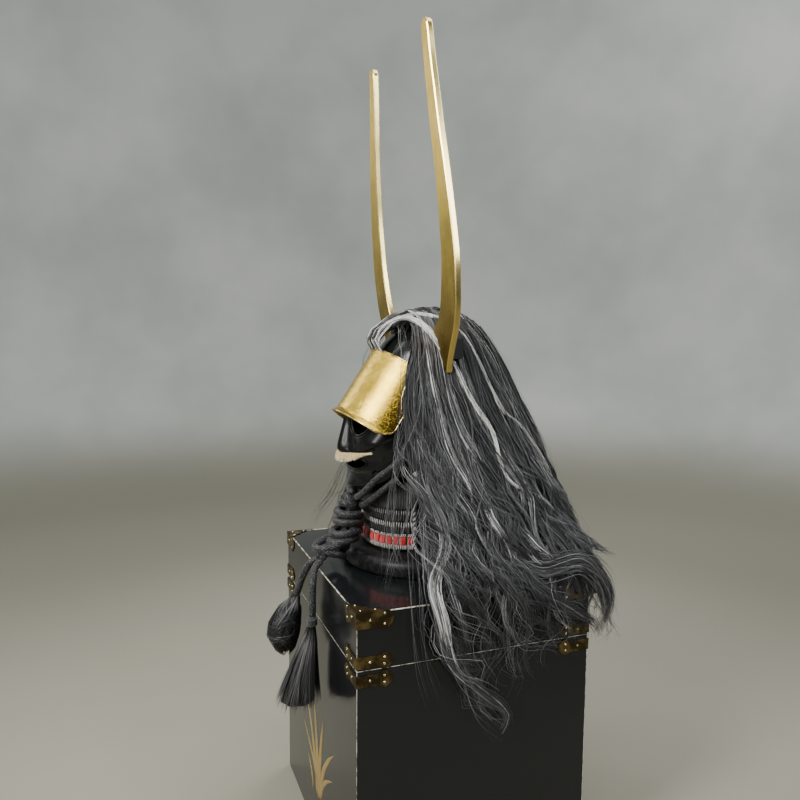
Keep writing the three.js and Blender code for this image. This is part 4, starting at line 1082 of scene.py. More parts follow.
# %% Mask shape
MASK = table(
    "z y rear_z rear_y width square",
    (127, -111, 161, -46, 78, 2.0),
    (129.5, -128, 162, -45, 80, 1.75),
    (137, -135.5, 167, -44, 83, 1.75),
    (148, -133, 176, -43, 85, 1.9),
    (158, -132, 183, -43, 87, 2.0),
    (165, -134, 188, -42, 88, 2.05),
    (177, -132, 197, -42, 89, 2.1),
    (188, -137, 205, -42, 90, 2.1),
    (199, -138, 213, -42, 91, 2.15),
    (211, -137, 222, -42, 91, 2.2),
    (224, -136, 232, -42, 91, 2.2),
    (238, -135, 243, -42, 89.5, 2.2),
    (251, -135, 251, -42, 88, 2.2),
)
NOSE = table(
    "z out half",
    (120, 0, 14),
    (183, 0, 17),
    (189, 11, 18),
    (197, 18.5, 17),
    (204, 19.4, 15),
    (211, 18.8, 13),
    (237, 14, 10),
    (252, 10.5, 9),
)
CHEEK_EDGE = table(
    "x z",
    (44, 202),
    (55, 203),
    (63, 207),
    (72, 215),
    (83, 226),
)
JAW_EDGE = table(
    "z x",
    (150, 42),
    (168, 56),
    (182, 66),
    (197, 74),
    (206, 79),
)
MASK_THICK = 2.4


def mask_point(column, row, inward=0.0):
    """A point of the mask, from shares across and up."""
    column, row = np.broadcast_arrays(np.asarray(column, float), np.asarray(row, float))
    near, amount = weights(len(MASK), row)
    levels = {key: np.array([level[key] for level in MASK], float) for key in MASK[0]}
    at = {key: sum(values[n] * a for n, a in zip(near, amount)) for key, values in levels.items()}
    angle = -math.pi / 2 + math.pi * column
    power = 2 / at["square"]
    side = np.sign(angle) * np.abs(np.sin(angle)) ** power
    ahead = np.maximum(np.cos(angle), 0) ** power
    x = (at["width"] - inward) * side
    z = at["z"] + (at["rear_z"] - at["z"]) * (1 - ahead)
    wide = np.abs(x)
    heights = np.linspace(120, 256, 273)
    soft = np.exp(-((np.arange(-8, 9) * 0.5 / 1.8) ** 2))
    profile = np.convolve(np.pad(between(NOSE, "out", heights), 8, mode="edge"), soft / soft.sum(), "valid")
    nose = np.interp(z, heights, profile) * np.exp(-((x / between(NOSE, "half", z)) ** 2) * 1.2)
    wing = 2.6 * np.exp(-(((wide - 14) / 5) ** 2) - ((z - 193) / 6) ** 2)
    cheek = 5 * np.exp(-(((wide - 52) / 20) ** 2) - ((z - 214) / 13) ** 2)
    under_cheek = between(CHEEK_EDGE, "z", wide, "x") - z
    hollow = 3.4 * eased(-0.4, 2.2, under_cheek) * (1 - eased(8, 34, under_cheek)) * eased(40, 56, wide)
    past_jaw = wide - between(JAW_EDGE, "x", z)
    step = 2.6 * eased(-0.6, 2.2, past_jaw) * (1 - eased(6, 26, past_jaw))
    step = step * eased(152, 166, z) * (1 - eased(198, 210, z))
    fold = 2.0 * np.exp(-(((wide - 46 - (z - 207) * 0.5) / 1.8) ** 2) - ((z - 207) / 7) ** 2)
    lip = 3.0 * np.exp(-(((z - 163.5 - wide * 0.10) / 3.0) ** 2)) * (1 - eased(26, 42, wide))
    chin = 2.5 * np.exp(-((wide / 17) ** 4) - ((z - 141) / 12) ** 2)
    y = at["rear_y"] + inward - (at["rear_y"] - at["y"]) * ahead - nose - wing - cheek - lip - chin
    return np.stack([x, y + (hollow + step + fold) * np.minimum(1, ahead * 3), z], -1)


EYE_CUT = [(13, 262), (15, 240), (21, 229), (32, 224), (44, 227), (54, 238), (60, 262)]
MOUTH_CUT = [(-46, 179), (-36, 170), (-16, 167), (16, 167), (36, 170), (46, 179), (30, 187), (-30, 187), (-46, 179)]


def inside_line(x, z, outline):
    """Whether points lie inside a closed outline."""
    within = np.zeros(np.shape(x), bool)
    for (x0, z0), (x1, z1) in zip(outline, [*outline[1:], outline[0]]):
        if z0 != z1:
            crosses = (z0 > z) != (z1 > z)
            within ^= crosses & (x < (x1 - x0) * (z - z0) / (z1 - z0) + x0)
    return within


columns, rows = np.linspace(0, 1, 201), np.linspace(0, 1, 126)
mask_outer = mask_point(columns[:, None], rows[None])
mask_inner = mask_point(columns[:, None], rows[None], MASK_THICK)
eye_line = smooth_line(EYE_CUT, 60)
mouth_line = smooth_line(MOUTH_CUT, 90)
centre = (mask_outer[1:, 1:] + mask_outer[:-1, :-1]) / 2
holes = inside_line(np.abs(centre[..., 0]), centre[..., 2], [tuple(p) for p in eye_line])
holes |= inside_line(centre[..., 0], centre[..., 2], [tuple(p) for p in mouth_line])
nostril = ((np.abs(centre[..., 0]) - 10.5) / 4.2) ** 2 + ((centre[..., 2] - 190.5) / 3.6) ** 2 < 1
holes |= nostril & (centre[..., 1] < -140)


def pierced_wall(outer, inner, keep):
    """A wall whose faces are kept only in places, closed round every hole."""
    r, c = outer.shape[:2]
    skin = grid_faces(r, c)[keep.ravel()]
    edges = np.concatenate([skin[:, [k, (k + 1) % 4]] for k in range(4)])
    code = edges[:, 0] * (r * c) + edges[:, 1]
    back = edges[:, 1] * (r * c) + edges[:, 0]
    rim = edges[~np.isin(code, back)]
    count = r * c
    sides = np.stack([rim[:, 1], rim[:, 0], rim[:, 0] + count, rim[:, 1] + count], 1)
    quads = np.vstack([skin, skin[:, ::-1] + count, sides])
    used, quads = np.unique(quads, return_inverse=True)
    return np.vstack([outer.reshape(-1, 3), inner.reshape(-1, 3)])[used], quads.reshape(-1, 4)


mask_points, mask_faces = pierced_wall(mask_outer, mask_inner, ~holes)
mask_black = lacquer("mask_lacquer", (0.0075, 0.0085, 0.0085), 0.13, 0.05, 0.12)
piece("lacquered_mask", mask_points, mask_faces, mask_black, ["face_mask"])
print("mask", len(mask_faces), "faces")

# %% [markdown]
# The sheet is turned back at every opening, so the edge is a thick round lip. Round the eyes there
# are two: the lip of the opening and a raised line outside it. A tube along each outline gives
# them, and also covers the stepped edge that the grid leaves.

# %% Turned edges of the mask
front_half = mask_outer[..., 1] < -70


def on_mask(x, z, proud=0.0):
    """The front of the mask at places across and up."""
    known = mask_outer[front_half]
    places = []
    for px, pz in zip(np.atleast_1d(x), np.atleast_1d(z)):
        nearness = np.exp(-((known[:, 0] - px) ** 2 + (known[:, 2] - pz) ** 2) / 1.6)
        if nearness.sum() < 1e-6:
            nearness = np.exp(-((known[:, 0] - px) ** 2 + (known[:, 2] - pz) ** 2) / 40)
        places.append([px, (known[:, 1] * nearness).sum() / nearness.sum() - proud, pz])
    return np.array(places)


edge_tubes = []
for side in (1, -1):
    lip_line = eye_line[(eye_line[:, 1] < 250.5)]
    middle = np.array([36.0, 246.0])
    outer_line = middle + (lip_line - middle) * (1 + 4.6 / np.linalg.norm(lip_line - middle, axis=1))[:, None]
    outer_line = outer_line[outer_line[:, 1] < 250]
    for line, radius, proud in ((lip_line, 1.7, 0.2), (outer_line, 1.05, 0.3)):
        edge_tubes.append(tube(smooth_line(on_mask(side * line[:, 0], line[:, 1], proud), 70), radius, 10))
    turn = np.linspace(0, 2 * math.pi, 26)
    ring = on_mask(side * (10.5 + 4.3 * np.cos(turn)), 190.5 + 3.7 * np.sin(turn), 0.1)
    edge_tubes.append(tube(ring, 0.8, 8))
edge_tubes.append(tube(smooth_line(on_mask(mouth_line[:, 0], mouth_line[:, 1], 0.2), 150), 1.7, 10))
for share in (0.0, 1.0):
    rear = mask_point(share, np.linspace(0, 1, 60), 1.0)
    edge_tubes.append(tube(smooth_line(rear, 60), 1.7, 10))
jaw = mask_point(np.linspace(0, 1, 120), 0.0, 1.0)
edge_tubes.append(tube(smooth_line(jaw, 120), 1.6, 10))
edge_points, edge_faces = merged(edge_tubes)
piece("mask_turned_edges", edge_points, edge_faces, mask_black)
print("turned edges", len(edge_faces), "faces")

# %% [markdown]
# ## Moustache
#
# Short stiff bristle is set in a row along the upper lip. The tufts share a clean upper edge, lean
# forward and outwards, and end unevenly. The core under them keeps daylight out.

# %% Moustache
MOUSTACHE = table(
    "x y z tall deep",
    (0, -150, 187, 13, 14),
    (16, -148, 188, 13, 13),
    (32, -142.5, 190, 12, 11),
    (46, -135, 193, 9, 8),
    (57, -127.5, 196, 5, 5),
    (62, -123.5, 197.5, 1.5, 2),
)
PALES = [(0.0, (0.30, 0.19, 0.08)), (0.35, (0.60, 0.42, 0.21)), (0.7, (0.92, 0.74, 0.42)), (1.0, (1.0, 0.90, 0.62))]


def bristle_row(seed=5, count=2600, steps=6):
    rng = np.random.default_rng(seed)
    x = rng.uniform(-61, 61, count)
    row = {key: between(MOUSTACHE, key, np.abs(x), "x") for key in ("y", "z", "tall", "deep")}
    layer = rng.uniform(0, 1, count)
    drop = row["tall"] * (0.86 + 0.22 * layer) * rng.uniform(0.82, 1.08, count)
    start = np.stack([x, row["y"] + row["deep"] * (0.42 - 0.55 * layer), row["z"] + row["tall"] * 0.47], 1)
    start[:, 2] -= rng.uniform(0, 0.45, count) * row["tall"]
    aim = np.stack([
        np.sign(x) * (0.10 + 0.55 * (np.abs(x) / 62) ** 1.5) + rng.normal(0, 0.10, count),
        -0.42 - 0.2 * layer + rng.normal(0, 0.06, count),
        -np.ones(count),
    ], 1)
    tip = eased(42, 60, np.abs(x))[:, None]
    sideways = np.stack([np.sign(x) * 0.85, 0.72 + 0 * x, 0.10 + rng.normal(0, 0.1, count)], 1)
    aim = aim * (1 - tip) + sideways * tip
    drop = np.maximum(drop, 10.5 * tip[:, 0])
    share = np.linspace(0, 1, steps)
    droop = np.stack([0 * share, 0.9 * share - 0.9 * share**2, 0 * share], 1)
    places = start[:, None] + aim[:, None] * (share * 0.78)[None, :, None] * drop[:, None, None]
    places = places - droop[None] * drop[:, None, None] * 0.25
    out = np.broadcast_to(unit(np.stack([np.sign(x) * 0.2, -np.ones(count), 0.3 + 0 * x], 1))[:, None], places.shape)
    tones = np.clip(rng.normal(0.78, 0.15, (count, 1)) + 0 * share, 0, 1)
    return ribbons(places, out, tones, rng, (0.45, 0.8))


bristle = strands_finish("pale_bristle", PALES, 0.5, 0.2)
bristle_points, bristle_faces, bristle_marks = bristle_row()
piece("moustache_bristle", bristle_points, bristle_faces, bristle, marks=bristle_marks)

core_rings = []
for x in np.linspace(-61, 61, 70):
    row = {key: between(MOUSTACHE, key, abs(x), "x") for key in ("y", "z", "tall", "deep")}
    turn = np.arange(16) * 2 * math.pi / 16
    swell = 0.80 + 0.06 * math.sin(x * 1.7)
    y = row["y"] + row["deep"] / 2 * swell * np.cos(turn)
    z = row["z"] + 0.6 + row["tall"] / 2 * swell * np.sin(turn)
    core_rings.append(np.stack([np.full(16, x), y, z], 1))
core_points, core_faces = rings_closed(np.array(core_rings))
core_marks = {"tone": 0.42 + 0.2 * np.sin(core_points[:, 0] * 2.2), "along_mm": core_points[:, 2]}
piece("moustache_core", core_points, core_faces, bristle, ["moustache"], marks=core_marks)
print("moustache", len(bristle_faces), "faces")

# %% [markdown]
# ## Laced guards
#
# The guards for the throat and neck are lames, curved strips that hang one below the other on
# rows of cord. Up close the cord makes the pattern: fine dark ribs on the top lame, short pale
# stitches along the next two, and on the last one blocks of red between white crosses and a white
# fringe. Every stitch follows the surface of its own lame, so one function places them all.

# %% Lames
THROAT = {"width": 80, "front": -106, "rear": -46, "square": 2.3, "tuck": 2.9}
THROAT_LAMES = table(
    "top rear_top bottom",
    (126, 159, 104),
    (107, 107, 84),
    (87, 87, 64),
    (67, 67, 37),
)
NECK_LAMES = table(
    "top bottom above below ends",
    (292, 252, 4, 12, -24),
    (255, 212, 8.8, 17, -24),
    (215, 152, 13.6, 24, -31),
)


def throat_point(lame, share, height, proud=0.0):
    """A point of a throat lame at a share of its sweep and of its height, standing proud of it."""
    share, height = np.broadcast_arrays(np.asarray(share, float), np.asarray(height, float))
    angle = math.pi * share
    power = 2 / THROAT["square"]
    side = np.sign(np.cos(angle)) * np.abs(np.cos(angle)) ** power
    ahead = np.maximum(np.sin(angle), 0) ** power
    offset = proud - THROAT["tuck"] * height
    top = lame["rear_top"] + (lame["top"] - lame["rear_top"]) * ahead
    y = THROAT["rear"] + (THROAT["front"] - THROAT["rear"] - offset) * ahead
    return np.stack([(THROAT["width"] + offset) * side, y, lame["bottom"] + (top - lame["bottom"]) * height], -1)


def neck_point(lame, share, height, proud=0.0):
    share, height = np.broadcast_arrays(np.asarray(share, float), np.asarray(height, float))
    angle = np.radians(lame["ends"] + (180 - 2 * lame["ends"]) * share)
    offset = lame["below"] + (lame["above"] - lame["below"]) * height + proud
    depth = np.where(np.sin(angle) > 0, BOWL["back"], BOWL["front"]) + offset
    x = (BOWL["half"] + offset) * np.cos(angle)
    z = lame["bottom"] + (lame["top"] - lame["bottom"]) * height
    return np.stack([x, BOWL["y"] + depth * np.sin(angle), z], -1)


def lame_plate(place, lame, thick=2.0, turns=120, levels=6):
    grid = [place(lame, np.linspace(0, 1, turns)[:, None], np.linspace(0, 1, levels)[None], p) for p in (0, -thick)]
    return walled(grid[0], grid[1])


lame_black = lacquer("lame_lacquer", (0.012, 0.011, 0.010), 0.3, 0.2, 0.8)
for k, lame in enumerate(THROAT_LAMES):
    points, faces = lame_plate(throat_point, lame)
    slot = "red_lacing" if k == 3 else "laced_lame"
    plate = piece(f"throat_plate_{k + 1}", points, faces, lame_black, [f"throat_lame_{k + 1}"])
    plate.data.set_sharp_from_angle(angle=math.radians(40))
for k, lame in enumerate(NECK_LAMES):
    points, faces = lame_plate(neck_point, lame)
    plate = piece(f"neck_plate_{k + 1}", points, faces, lame_black, [f"neck_lame_{k + 1}"])
    plate.data.set_sharp_from_angle(angle=math.radians(40))
print("seven lames")

# %% Lacing cords
def thread(name, dark, light, rough):
    """Silk lacing: tiny slanted plaits, painted lighter where they stand up and darker between them: painted
    highlight and shade.
    """
    f = Finish(name)
    plait = f.node("ShaderNodeTexWave", {"bands_direction": "DIAGONAL"}, f.place((1, 1, 1)), Scale=420.0,
                   Distortion=2.0, Detail=2.0, out="Fac")
    cloud = f.noise(f.place(), 130.0, 4.0, 0.6)
    shade = (plait * 0.55 + cloud * 0.6).steps(0.25, 0.95)
    normal = f.bump(plait, 0.0006, 0.6)
    return f.surface(Base_Color=f.blend(dark, light, shade), Roughness=rough, Normal=normal, Sheen_Weight=0.25)


silk_black = thread("black_silk", (0.010, 0.010, 0.011), (0.085, 0.085, 0.09), 0.55)
# The grey copy of the white silk is painted shade, for the pale stitches that sit just under the top lame.
silk_white_shaded = thread("white_silk_painted_shade", (0.10, 0.10, 0.10), (0.52, 0.52, 0.51), 0.5)
silk_white = thread("white_silk", (0.50, 0.48, 0.44), (1.0, 0.98, 0.93), 0.55)
silk_red = thread("red_silk", (0.45, 0.006, 0.008), (1.0, 0.045, 0.04), 0.55)


def stitch(place, lame, share0, height0, share1, height1, radius, proud=1.0, steps=5):
    """A short cord from one place of a lame to another, its ends sunk into holes."""
    t = np.linspace(0, 1, steps)
    lift = proud * np.sin(math.pi * t) ** 0.6 + radius * 0.3
    line = place(lame, share0 + (share1 - share0) * t, height0 + (height1 - height0) * t, lift)
    return tube(line, radius * (0.75 + 0.25 * np.sin(math.pi * t)), 6)


def stitches(name, parts, finish):
    points, faces = merged(parts)
    made = piece(name, points, faces, finish)
    print(name, len(parts), "stitches")
    return made


def at_height(lame, z):
    return (z - lame["bottom"]) / (lame["top"] - lame["bottom"])


SWEEP = 228.0
ribs = []
for share in np.arange(1.6, SWEEP, 3.1) / SWEEP:
    ribs.append(stitch(throat_point, THROAT_LAMES[0], share, 0.04, share, 0.97, 1.15, 0.5, 9))
for lame, z0, z1 in ((THROAT_LAMES[1], 86, 94), (THROAT_LAMES[2], 66, 74)):
    for share in np.arange(2.0, SWEEP, 4.9) / SWEEP:
        ribs.append(stitch(throat_point, lame, share, at_height(lame, z0), share, at_height(lame, z1), 1.0, 0.3))
stitches("throat_ribs", ribs, silk_black)

pale, shaded_pale = [], []
rng = np.random.default_rng(3)
for lame, z0, z1, into in ((THROAT_LAMES[1], 94.5, 102.5, shaded_pale), (THROAT_LAMES[2], 74.5, 83, pale)):
    for share in np.arange(2.2, SWEEP - 2, 4.8) / SWEEP:
        tilt = rng.normal(0, 0.002)
        h0, h1 = at_height(lame, z0 + rng.normal(0, 0.4)), at_height(lame, z1 + rng.normal(0, 0.4))
        into.append(stitch(throat_point, lame, share, h0, share + tilt, h1, 0.95))
last = THROAT_LAMES[3]
BLOCK = 14.5
block_starts = np.arange(1.4, SWEEP - 12, BLOCK)
for start in block_starts:
    for k in range(3):
        a, b = (start + 0.6 + 3.7 * k) / SWEEP, (start + 3.9 + 3.7 * k) / SWEEP
        low, high = at_height(last, 58.6), at_height(last, 65.2)
        pale.append(stitch(throat_point, last, a, low, b, high, 0.8, 1.0))
        pale.append(stitch(throat_point, last, b, low, a, high, 0.8, 1.7))
    pale.append(stitch(throat_point, last, (start + 12.9) / SWEEP, at_height(last, 44), (start + 12.9) / SWEEP,
                       at_height(last, 62), 0.55, 0.6))
    for k in range(4):
        share = (start + 1.2 + 3.4 * k) / SWEEP
        bottom = at_height(last, 37.6 + rng.uniform(-0.3, 0.8))
        pale.append(stitch(throat_point, last, share, at_height(last, 45.5), share, bottom, 0.9, 0.8))
stitches("white_stitches", pale, silk_white)
stitches("pale_stitches_painted_shade", shaded_pale, silk_white_shaded)

red_blocks = []
for start in block_starts:
    cell = np.linspace(0, 1, 13)
    u, v = np.meshgrid(cell, cell, indexing="ij")
    dome_up = (1 - (2 * u - 1) ** 4) ** 0.5 * (1 - (2 * v - 1) ** 4) ** 0.5
    ply = 0.3 * np.abs(np.sin(u * math.pi * 4))
    share, height = (start + 0.4 + 11.6 * u) / SWEEP, at_height(last, 44.6 + 13.6 * v)
    red_blocks.append(walled(throat_point(last, share, height, 0.2 + 2.4 * dome_up - ply),
                             throat_point(last, share, height, 0.1)))
stitches("red_blocks", red_blocks, silk_red)

# %% [markdown]
# Along the rear edge of the throat guard a white and a black cord twist round each other. Two
# helices on one line make the twist.

# %% Twisted edge cords and neck lacing
def edge_line(share, count=90):
    heights = np.linspace(106, 39, count)
    line = []
    for z in heights:
        lame = next(row for row in THROAT_LAMES[1:][::-1] if z <= row["top"] or row is THROAT_LAMES[1])
        line.append(throat_point(lame, share, at_height(lame, z), 1.6))
    soft = np.array(line)
    for _ in range(6):
        soft[1:-1] = (soft[:-2] + 2 * soft[1:-1] + soft[2:]) / 4
    return soft


def twisted(line, radius, spin, phase):
    _, side, other = frames_along(line)
    turn = np.linspace(0, spin * 2 * math.pi, len(line)) + phase
    return line + radius * (side * np.cos(turn)[:, None] + other * np.sin(turn)[:, None])


white_twist, black_twist = [], []
for share in (0.012, 0.988):
    line = smooth_line(edge_line(share), 150)
    white_twist.append(tube(twisted(line, 1.5, 8, 0), 1.35, 8))
    black_twist.append(tube(twisted(line, 1.5, 8, math.pi), 1.3, 8))
stitches("edge_cord_white", white_twist, silk_white)
stitches("edge_cord_black", black_twist, silk_black)

neck_ribs, neck_pale = [], []
for lame in NECK_LAMES:
    for share in np.arange(3, 400, 5.2) / 403:
        neck_ribs.append(stitch(neck_point, lame, share, 0.05, share, 0.96, 1.5, 0.4, 7))
for share in np.arange(3, 400, 10.4) / 403:
    low, high = 0.05, 0.22
    neck_pale.append(stitch(neck_point, NECK_LAMES[2], share, low, share + 0.012, high, 0.8, 1.6))
    neck_pale.append(stitch(neck_point, NECK_LAMES[2], share + 0.012, low, share, high, 0.8, 2.2))
stitches("neck_ribs", neck_ribs, silk_black)
stitches("neck_crosses", neck_pale, silk_red)

petals, wisps = [], []
for side in (1, -1):
    heart = np.array([side * 147.0, -71.0, 168.0])
    for k in range(9):
        turn = k * 2 * math.pi / 9
        reach = np.array([side * 0.25, 0.62 * math.cos(turn) + 0.2, 0.78 * math.sin(turn)]) * (7.5 + 1.5 * (k % 2))
        bend = np.array([side * 3.4, -1.0, 0.0])
        tip = heart + reach + bend * 0.4
        line = np.stack([heart, heart + reach * 0.5 + bend, tip, heart + reach * 0.4 - bend * 0.2])
        petals.append(tube(smooth_line(line, 14), 1.35, 8))
    for k in range(7):
        turn = math.radians(48 + 15 * k)
        reach = np.array([side * 1.5, math.cos(turn) * 12, math.sin(turn) * 12 + 3])
        line = np.stack([heart, heart + reach * 0.6 + [side * 3, 0, 0], heart + reach])
        wisps.append(tube(smooth_line(line, 10), 0.8, 6))
stitches("red_rosettes", petals, silk_red)
stitches("cream_wisps", wisps, silk_white)

# %% [markdown]
# ## Tassels
#
# Each free end of the chin cord carries a tassel of long black fibre. The left one hangs open from
# a bound cap. The right one is wound up on itself into a ball.

# %% Tassel fibres
TASSEL_GREYS = [
    (0.0, (0.008, 0.008, 0.009)),
    (0.4, (0.022, 0.022, 0.024)),
    (0.7, (0.10, 0.10, 0.105)),
    (1.0, (0.36, 0.36, 0.37)),
]
tassel_finish = strands_finish("tassel_fibre", TASSEL_GREYS, 0.42, 0.2)
FAN = table(
    "z y x radius",
    (-84, -213, 42, 6.5),
    (-92, -214, 42, 8.5),
    (-104, -216, 42, 12),
    (-132, -222, 42, 19),
    (-168, -230, 42, 28),
    (-200, -236, 42, 36),
    (-212, -238, 42, 39),
)
BALL = table(
    "z y x radius",
    (-60, -220.5, -36, 7),
    (-68, -224, -37, 10),
    (-82, -232, -37, 20),
    (-105, -240, -37, 27),
    (-125, -243, -37, 27),
    (-145, -241, -37, 19),
    (-158, -239, -37, 7),
)


def tassel_row(rows, z):
    back = rows[::-1]
    return {key: between(back, key, z) for key in ("x", "y", "radius")}


def around_axis(rows, z, angle, share):
    row = tassel_row(rows, z)
    x = row["x"] + row["radius"] * share * np.cos(angle)
    y = row["y"] + row["radius"] * share * np.sin(angle)
    return np.stack([x, y, z + 0 * angle], -1)


def fan_fibres(seed, count, steps=11):
    rng = np.random.default_rng(seed)
    angle = rng.uniform(0, 2 * math.pi, (count, 1))
    share = np.sqrt(rng.uniform(0.05, 1, (count, 1)))
    clump = 0.10 * np.sin(angle * 7) + 0.06 * np.sin(angle * 13 + 2)
    low = -205 + rng.normal(0, 4, (count, 1)) + 14 * (1 - share) * rng.uniform(0.2, 1, (count, 1))
    t = np.linspace(0, 1, steps)[None]
    z = -84 + (np.maximum(low, -213) + 84) * t
    swing = angle + clump * t * 2 + rng.normal(0, 0.10, (count, 1)) * t**2
    spread = share * (1 + clump * t * 0.7)
    places = around_axis(FAN, z, swing, spread)
    middle = np.stack([42 + 0 * z, -222 + 0 * z, z], -1)
    # The tone rises in a band near the top of the fan, a painted sheen.
    tones = np.clip(rng.normal(0.42, 0.16, (count, 1)) + 0.32 * np.exp(-(((t - 0.2) / 0.2) ** 2)), 0, 1)
    return ribbons(places, unit(places - middle), tones, rng, (0.7, 1.2))


def ball_fibres(seed, count, steps=18):
    rng = np.random.default_rng(seed)
    angle = rng.uniform(0, 2 * math.pi, (count, 1))
    share = rng.uniform(0.86, 1.02, (count, 1))
    t = np.linspace(0, 1, steps)[None]
    z = -60 - 97 * t
    twist = 1.6 * t * np.where(rng.uniform(size=(count, 1)) < 0.7, 1, -0.8)
    places = around_axis(BALL, z, angle + twist, share)
    places[..., 2] += 4 * np.sin(angle * 3 + t * 5)
    middle = np.stack([-37 + 0 * z, -238 + 0 * z, -112 + 0 * z], -1)
    # The tone rises near the top of the ball, a painted highlight.
    tones = np.clip(rng.normal(0.34, 0.14, (count, 1)) + 0.45 * np.exp(-(((t - 0.12) / 0.13) ** 2)), 0, 1)
    return ribbons(places, unit(places - middle), tones, rng, (0.7, 1.2))


def bound_fibres(seed, count, steps=24):
    """Fibres that wind round the ball and hold it."""
    rng = np.random.default_rng(seed)
    t = np.linspace(0, 1, steps)[None]
    first = rng.uniform(0, 6.3, (count, 1))
    slope = rng.normal(0.0, 16, (count, 1))
    level = rng.choice([-92.0, -126.0], (count, 1)) + rng.normal(0, 4, (count, 1))
    angle = first + t * rng.uniform(2.2, 4.2, (count, 1))
    z = np.clip(level + slope * np.sin(angle), -152, -66)
    places = around_axis(BALL, z, angle, rng.uniform(1.0, 1.06, (count, 1)))
    middle = np.stack([-37 + 0 * z, -238 + 0 * z, z], -1)
    tones = np.clip(rng.normal(0.40, 0.16, (count, 1)) + 0 * t, 0, 1)
    return ribbons(places, unit(places - middle), tones, rng, (0.6, 1.0))


def tassel_core(rows, share, columns=24):
    rings = []
    angle = np.arange(columns) * 2 * math.pi / columns
    for z in np.linspace(rows[0]["z"], rows[-1]["z"] + 8, 26):
        ripple = share * (1 + 0.06 * np.sin(angle * 7) + 0.03 * math.sin(z))
        rings.append(around_axis(rows, np.full(columns, z), angle, ripple))
    return rings_closed(np.array(rings))


def tassel(name, rows, node, share, fibre_sets):
    points, faces = tassel_core(rows, share)
    marks = {"tone": np.full(len(points), 0.12), "along_mm": points[:, 2]}
    core = piece(f"{name}_core", points, faces, tassel_finish, [node], marks=marks)
    made = [core]
    for k, (points, faces, marks) in enumerate(fibre_sets):
        made.append(piece(f"{name}_fibres_{k + 1}", points, faces, tassel_finish, marks=marks))
    print(name, sum(2 * len(faces) for _, faces, _ in fibre_sets), "triangles")
    return made


fan = tassel("open_tassel", FAN, "tassel_left", 0.72, [fan_fibres(51, 1500)])
ball = tassel("wound_tassel", BALL, "tassel_right", 0.88, [ball_fibres(52, 1100), bound_fibres(53, 260)])
cap_turns = []
CAP_RADIUS = 7.2
for level in (-73.5, -77.5, -81.5):
    turn = np.linspace(0, 2 * math.pi, 30)
    x, y = 42 + CAP_RADIUS * np.cos(turn), -212 + CAP_RADIUS * np.sin(turn)
    cap_turns.append(tube(np.stack([x, y, level + 0.8 * np.sin(turn * 2)], 1), 1.9, 8))
cap_turns.append(tube(np.array([(42, -212, -68), (42, -212, -76), (42, -212.5, -86)], float), [6.4, 7.0, 6.6], 16))
cap_points, cap_faces = merged(cap_turns)
cap = piece("open_tassel_cap", cap_points, cap_faces, silk_black)
fan_pieces = [fan[0], cap]
end_left = braided("end_braid_left", CORD_END_LEFT, CORD, "black_cord", ["cord_end_left"])
free_cord(CORD_END_LEFT, fan_pieces)
end_right = braided("end_braid_right", CORD_END_RIGHT, CORD, "black_cord", ["cord_end_right"])
free_cord(CORD_END_RIGHT, ball[:1])

# %% [markdown]
# ## Hair
#
# The wig falls from a parting on the crown, over the sides and back of the bowl, onto the lid and
# down past its edge. Hair could be grown as Blender curves, but strands that leave as a mesh keep
# their shape in any program. A net of eight guide locks gives the fall: any place on it is a share
# round, from the front edge to the back, and a share down.

# %% The fall of the hair
GUIDES = np.array([
    [[0, -86, 391], [40, -50, 410], [84, -56, 377], [106, -78, 318], [117, -88, 240], [130, -88, 185],
     [172, -80, 112], [229, -82, 15], [239, -68, -55], [237, -30, -125], [236, 32, -212]],
    [[0, -52, 419], [46, -36, 415], [93, -36, 366], [117, -42, 300], [134, -42, 235], [156, -40, 170],
     [192, -38, 95], [233, -36, 8], [241, -20, -60], [238, 6, -112], [236, 28, -168]],
    [[0, -16, 428], [48, -8, 419], [97, -2, 363], [121, 2, 298], [142, 4, 230], [165, 10, 162],
     [198, 18, 88], [235, 26, 4], [241, 44, -52], [238, 66, -100], [235, 92, -152]],
    [[0, 14, 429], [46, 24, 418], [91, 42, 359], [115, 56, 292], [138, 68, 224], [164, 78, 156],
     [197, 90, 82], [234, 100, 2], [240, 114, -38], [238, 126, -66], [236, 138, -96]],
    [[0, 38, 427], [40, 54, 413], [75, 83, 356], [95, 107, 290], [118, 128, 222], [144, 148, 154],
     [178, 170, 80], [229, 197, 8], [236, 196, -36], [238, 205, -62], [236, 207, -88]],
    [[0, 56, 421], [30, 76, 404], [50, 109, 350], [68, 137, 288], [88, 164, 222], [112, 186, 152],
     [142, 206, 84], [172, 222, 16], [196, 236, -40], [206, 240, -86], [204, 238, -128]],
    [[0, 68, 417], [14, 92, 397], [26, 123, 347], [34, 151, 287], [45, 179, 222], [58, 199, 153],
     [78, 216, 86], [98, 229, 20], [108, 234, -40], [106, 233, -92], [102, 227, -140]],
    [[0, 75, 413], [0, 98, 393], [0, 126, 345], [0, 154, 286], [0, 183, 222], [0, 204, 154],
     [0, 220, 88], [0, 230, 24], [0, 234, -40], [0, 230, -96], [0, 222, -150]],
], float)


def fall(around, down):
    """Places on the fall of the left half."""
    around, down = np.broadcast_arrays(np.asarray(around, float), np.asarray(down, float))
    near_g, amount_g = weights(len(GUIDES), around)
    near_d, amount_d = weights(GUIDES.shape[1], down)
    place = np.zeros((*around.shape, 3))
    for g, wg in zip(near_g, amount_g):
        for d, wd in zip(near_d, amount_d):
            place += GUIDES[g, d] * (wg * wd)[..., None]
    return place


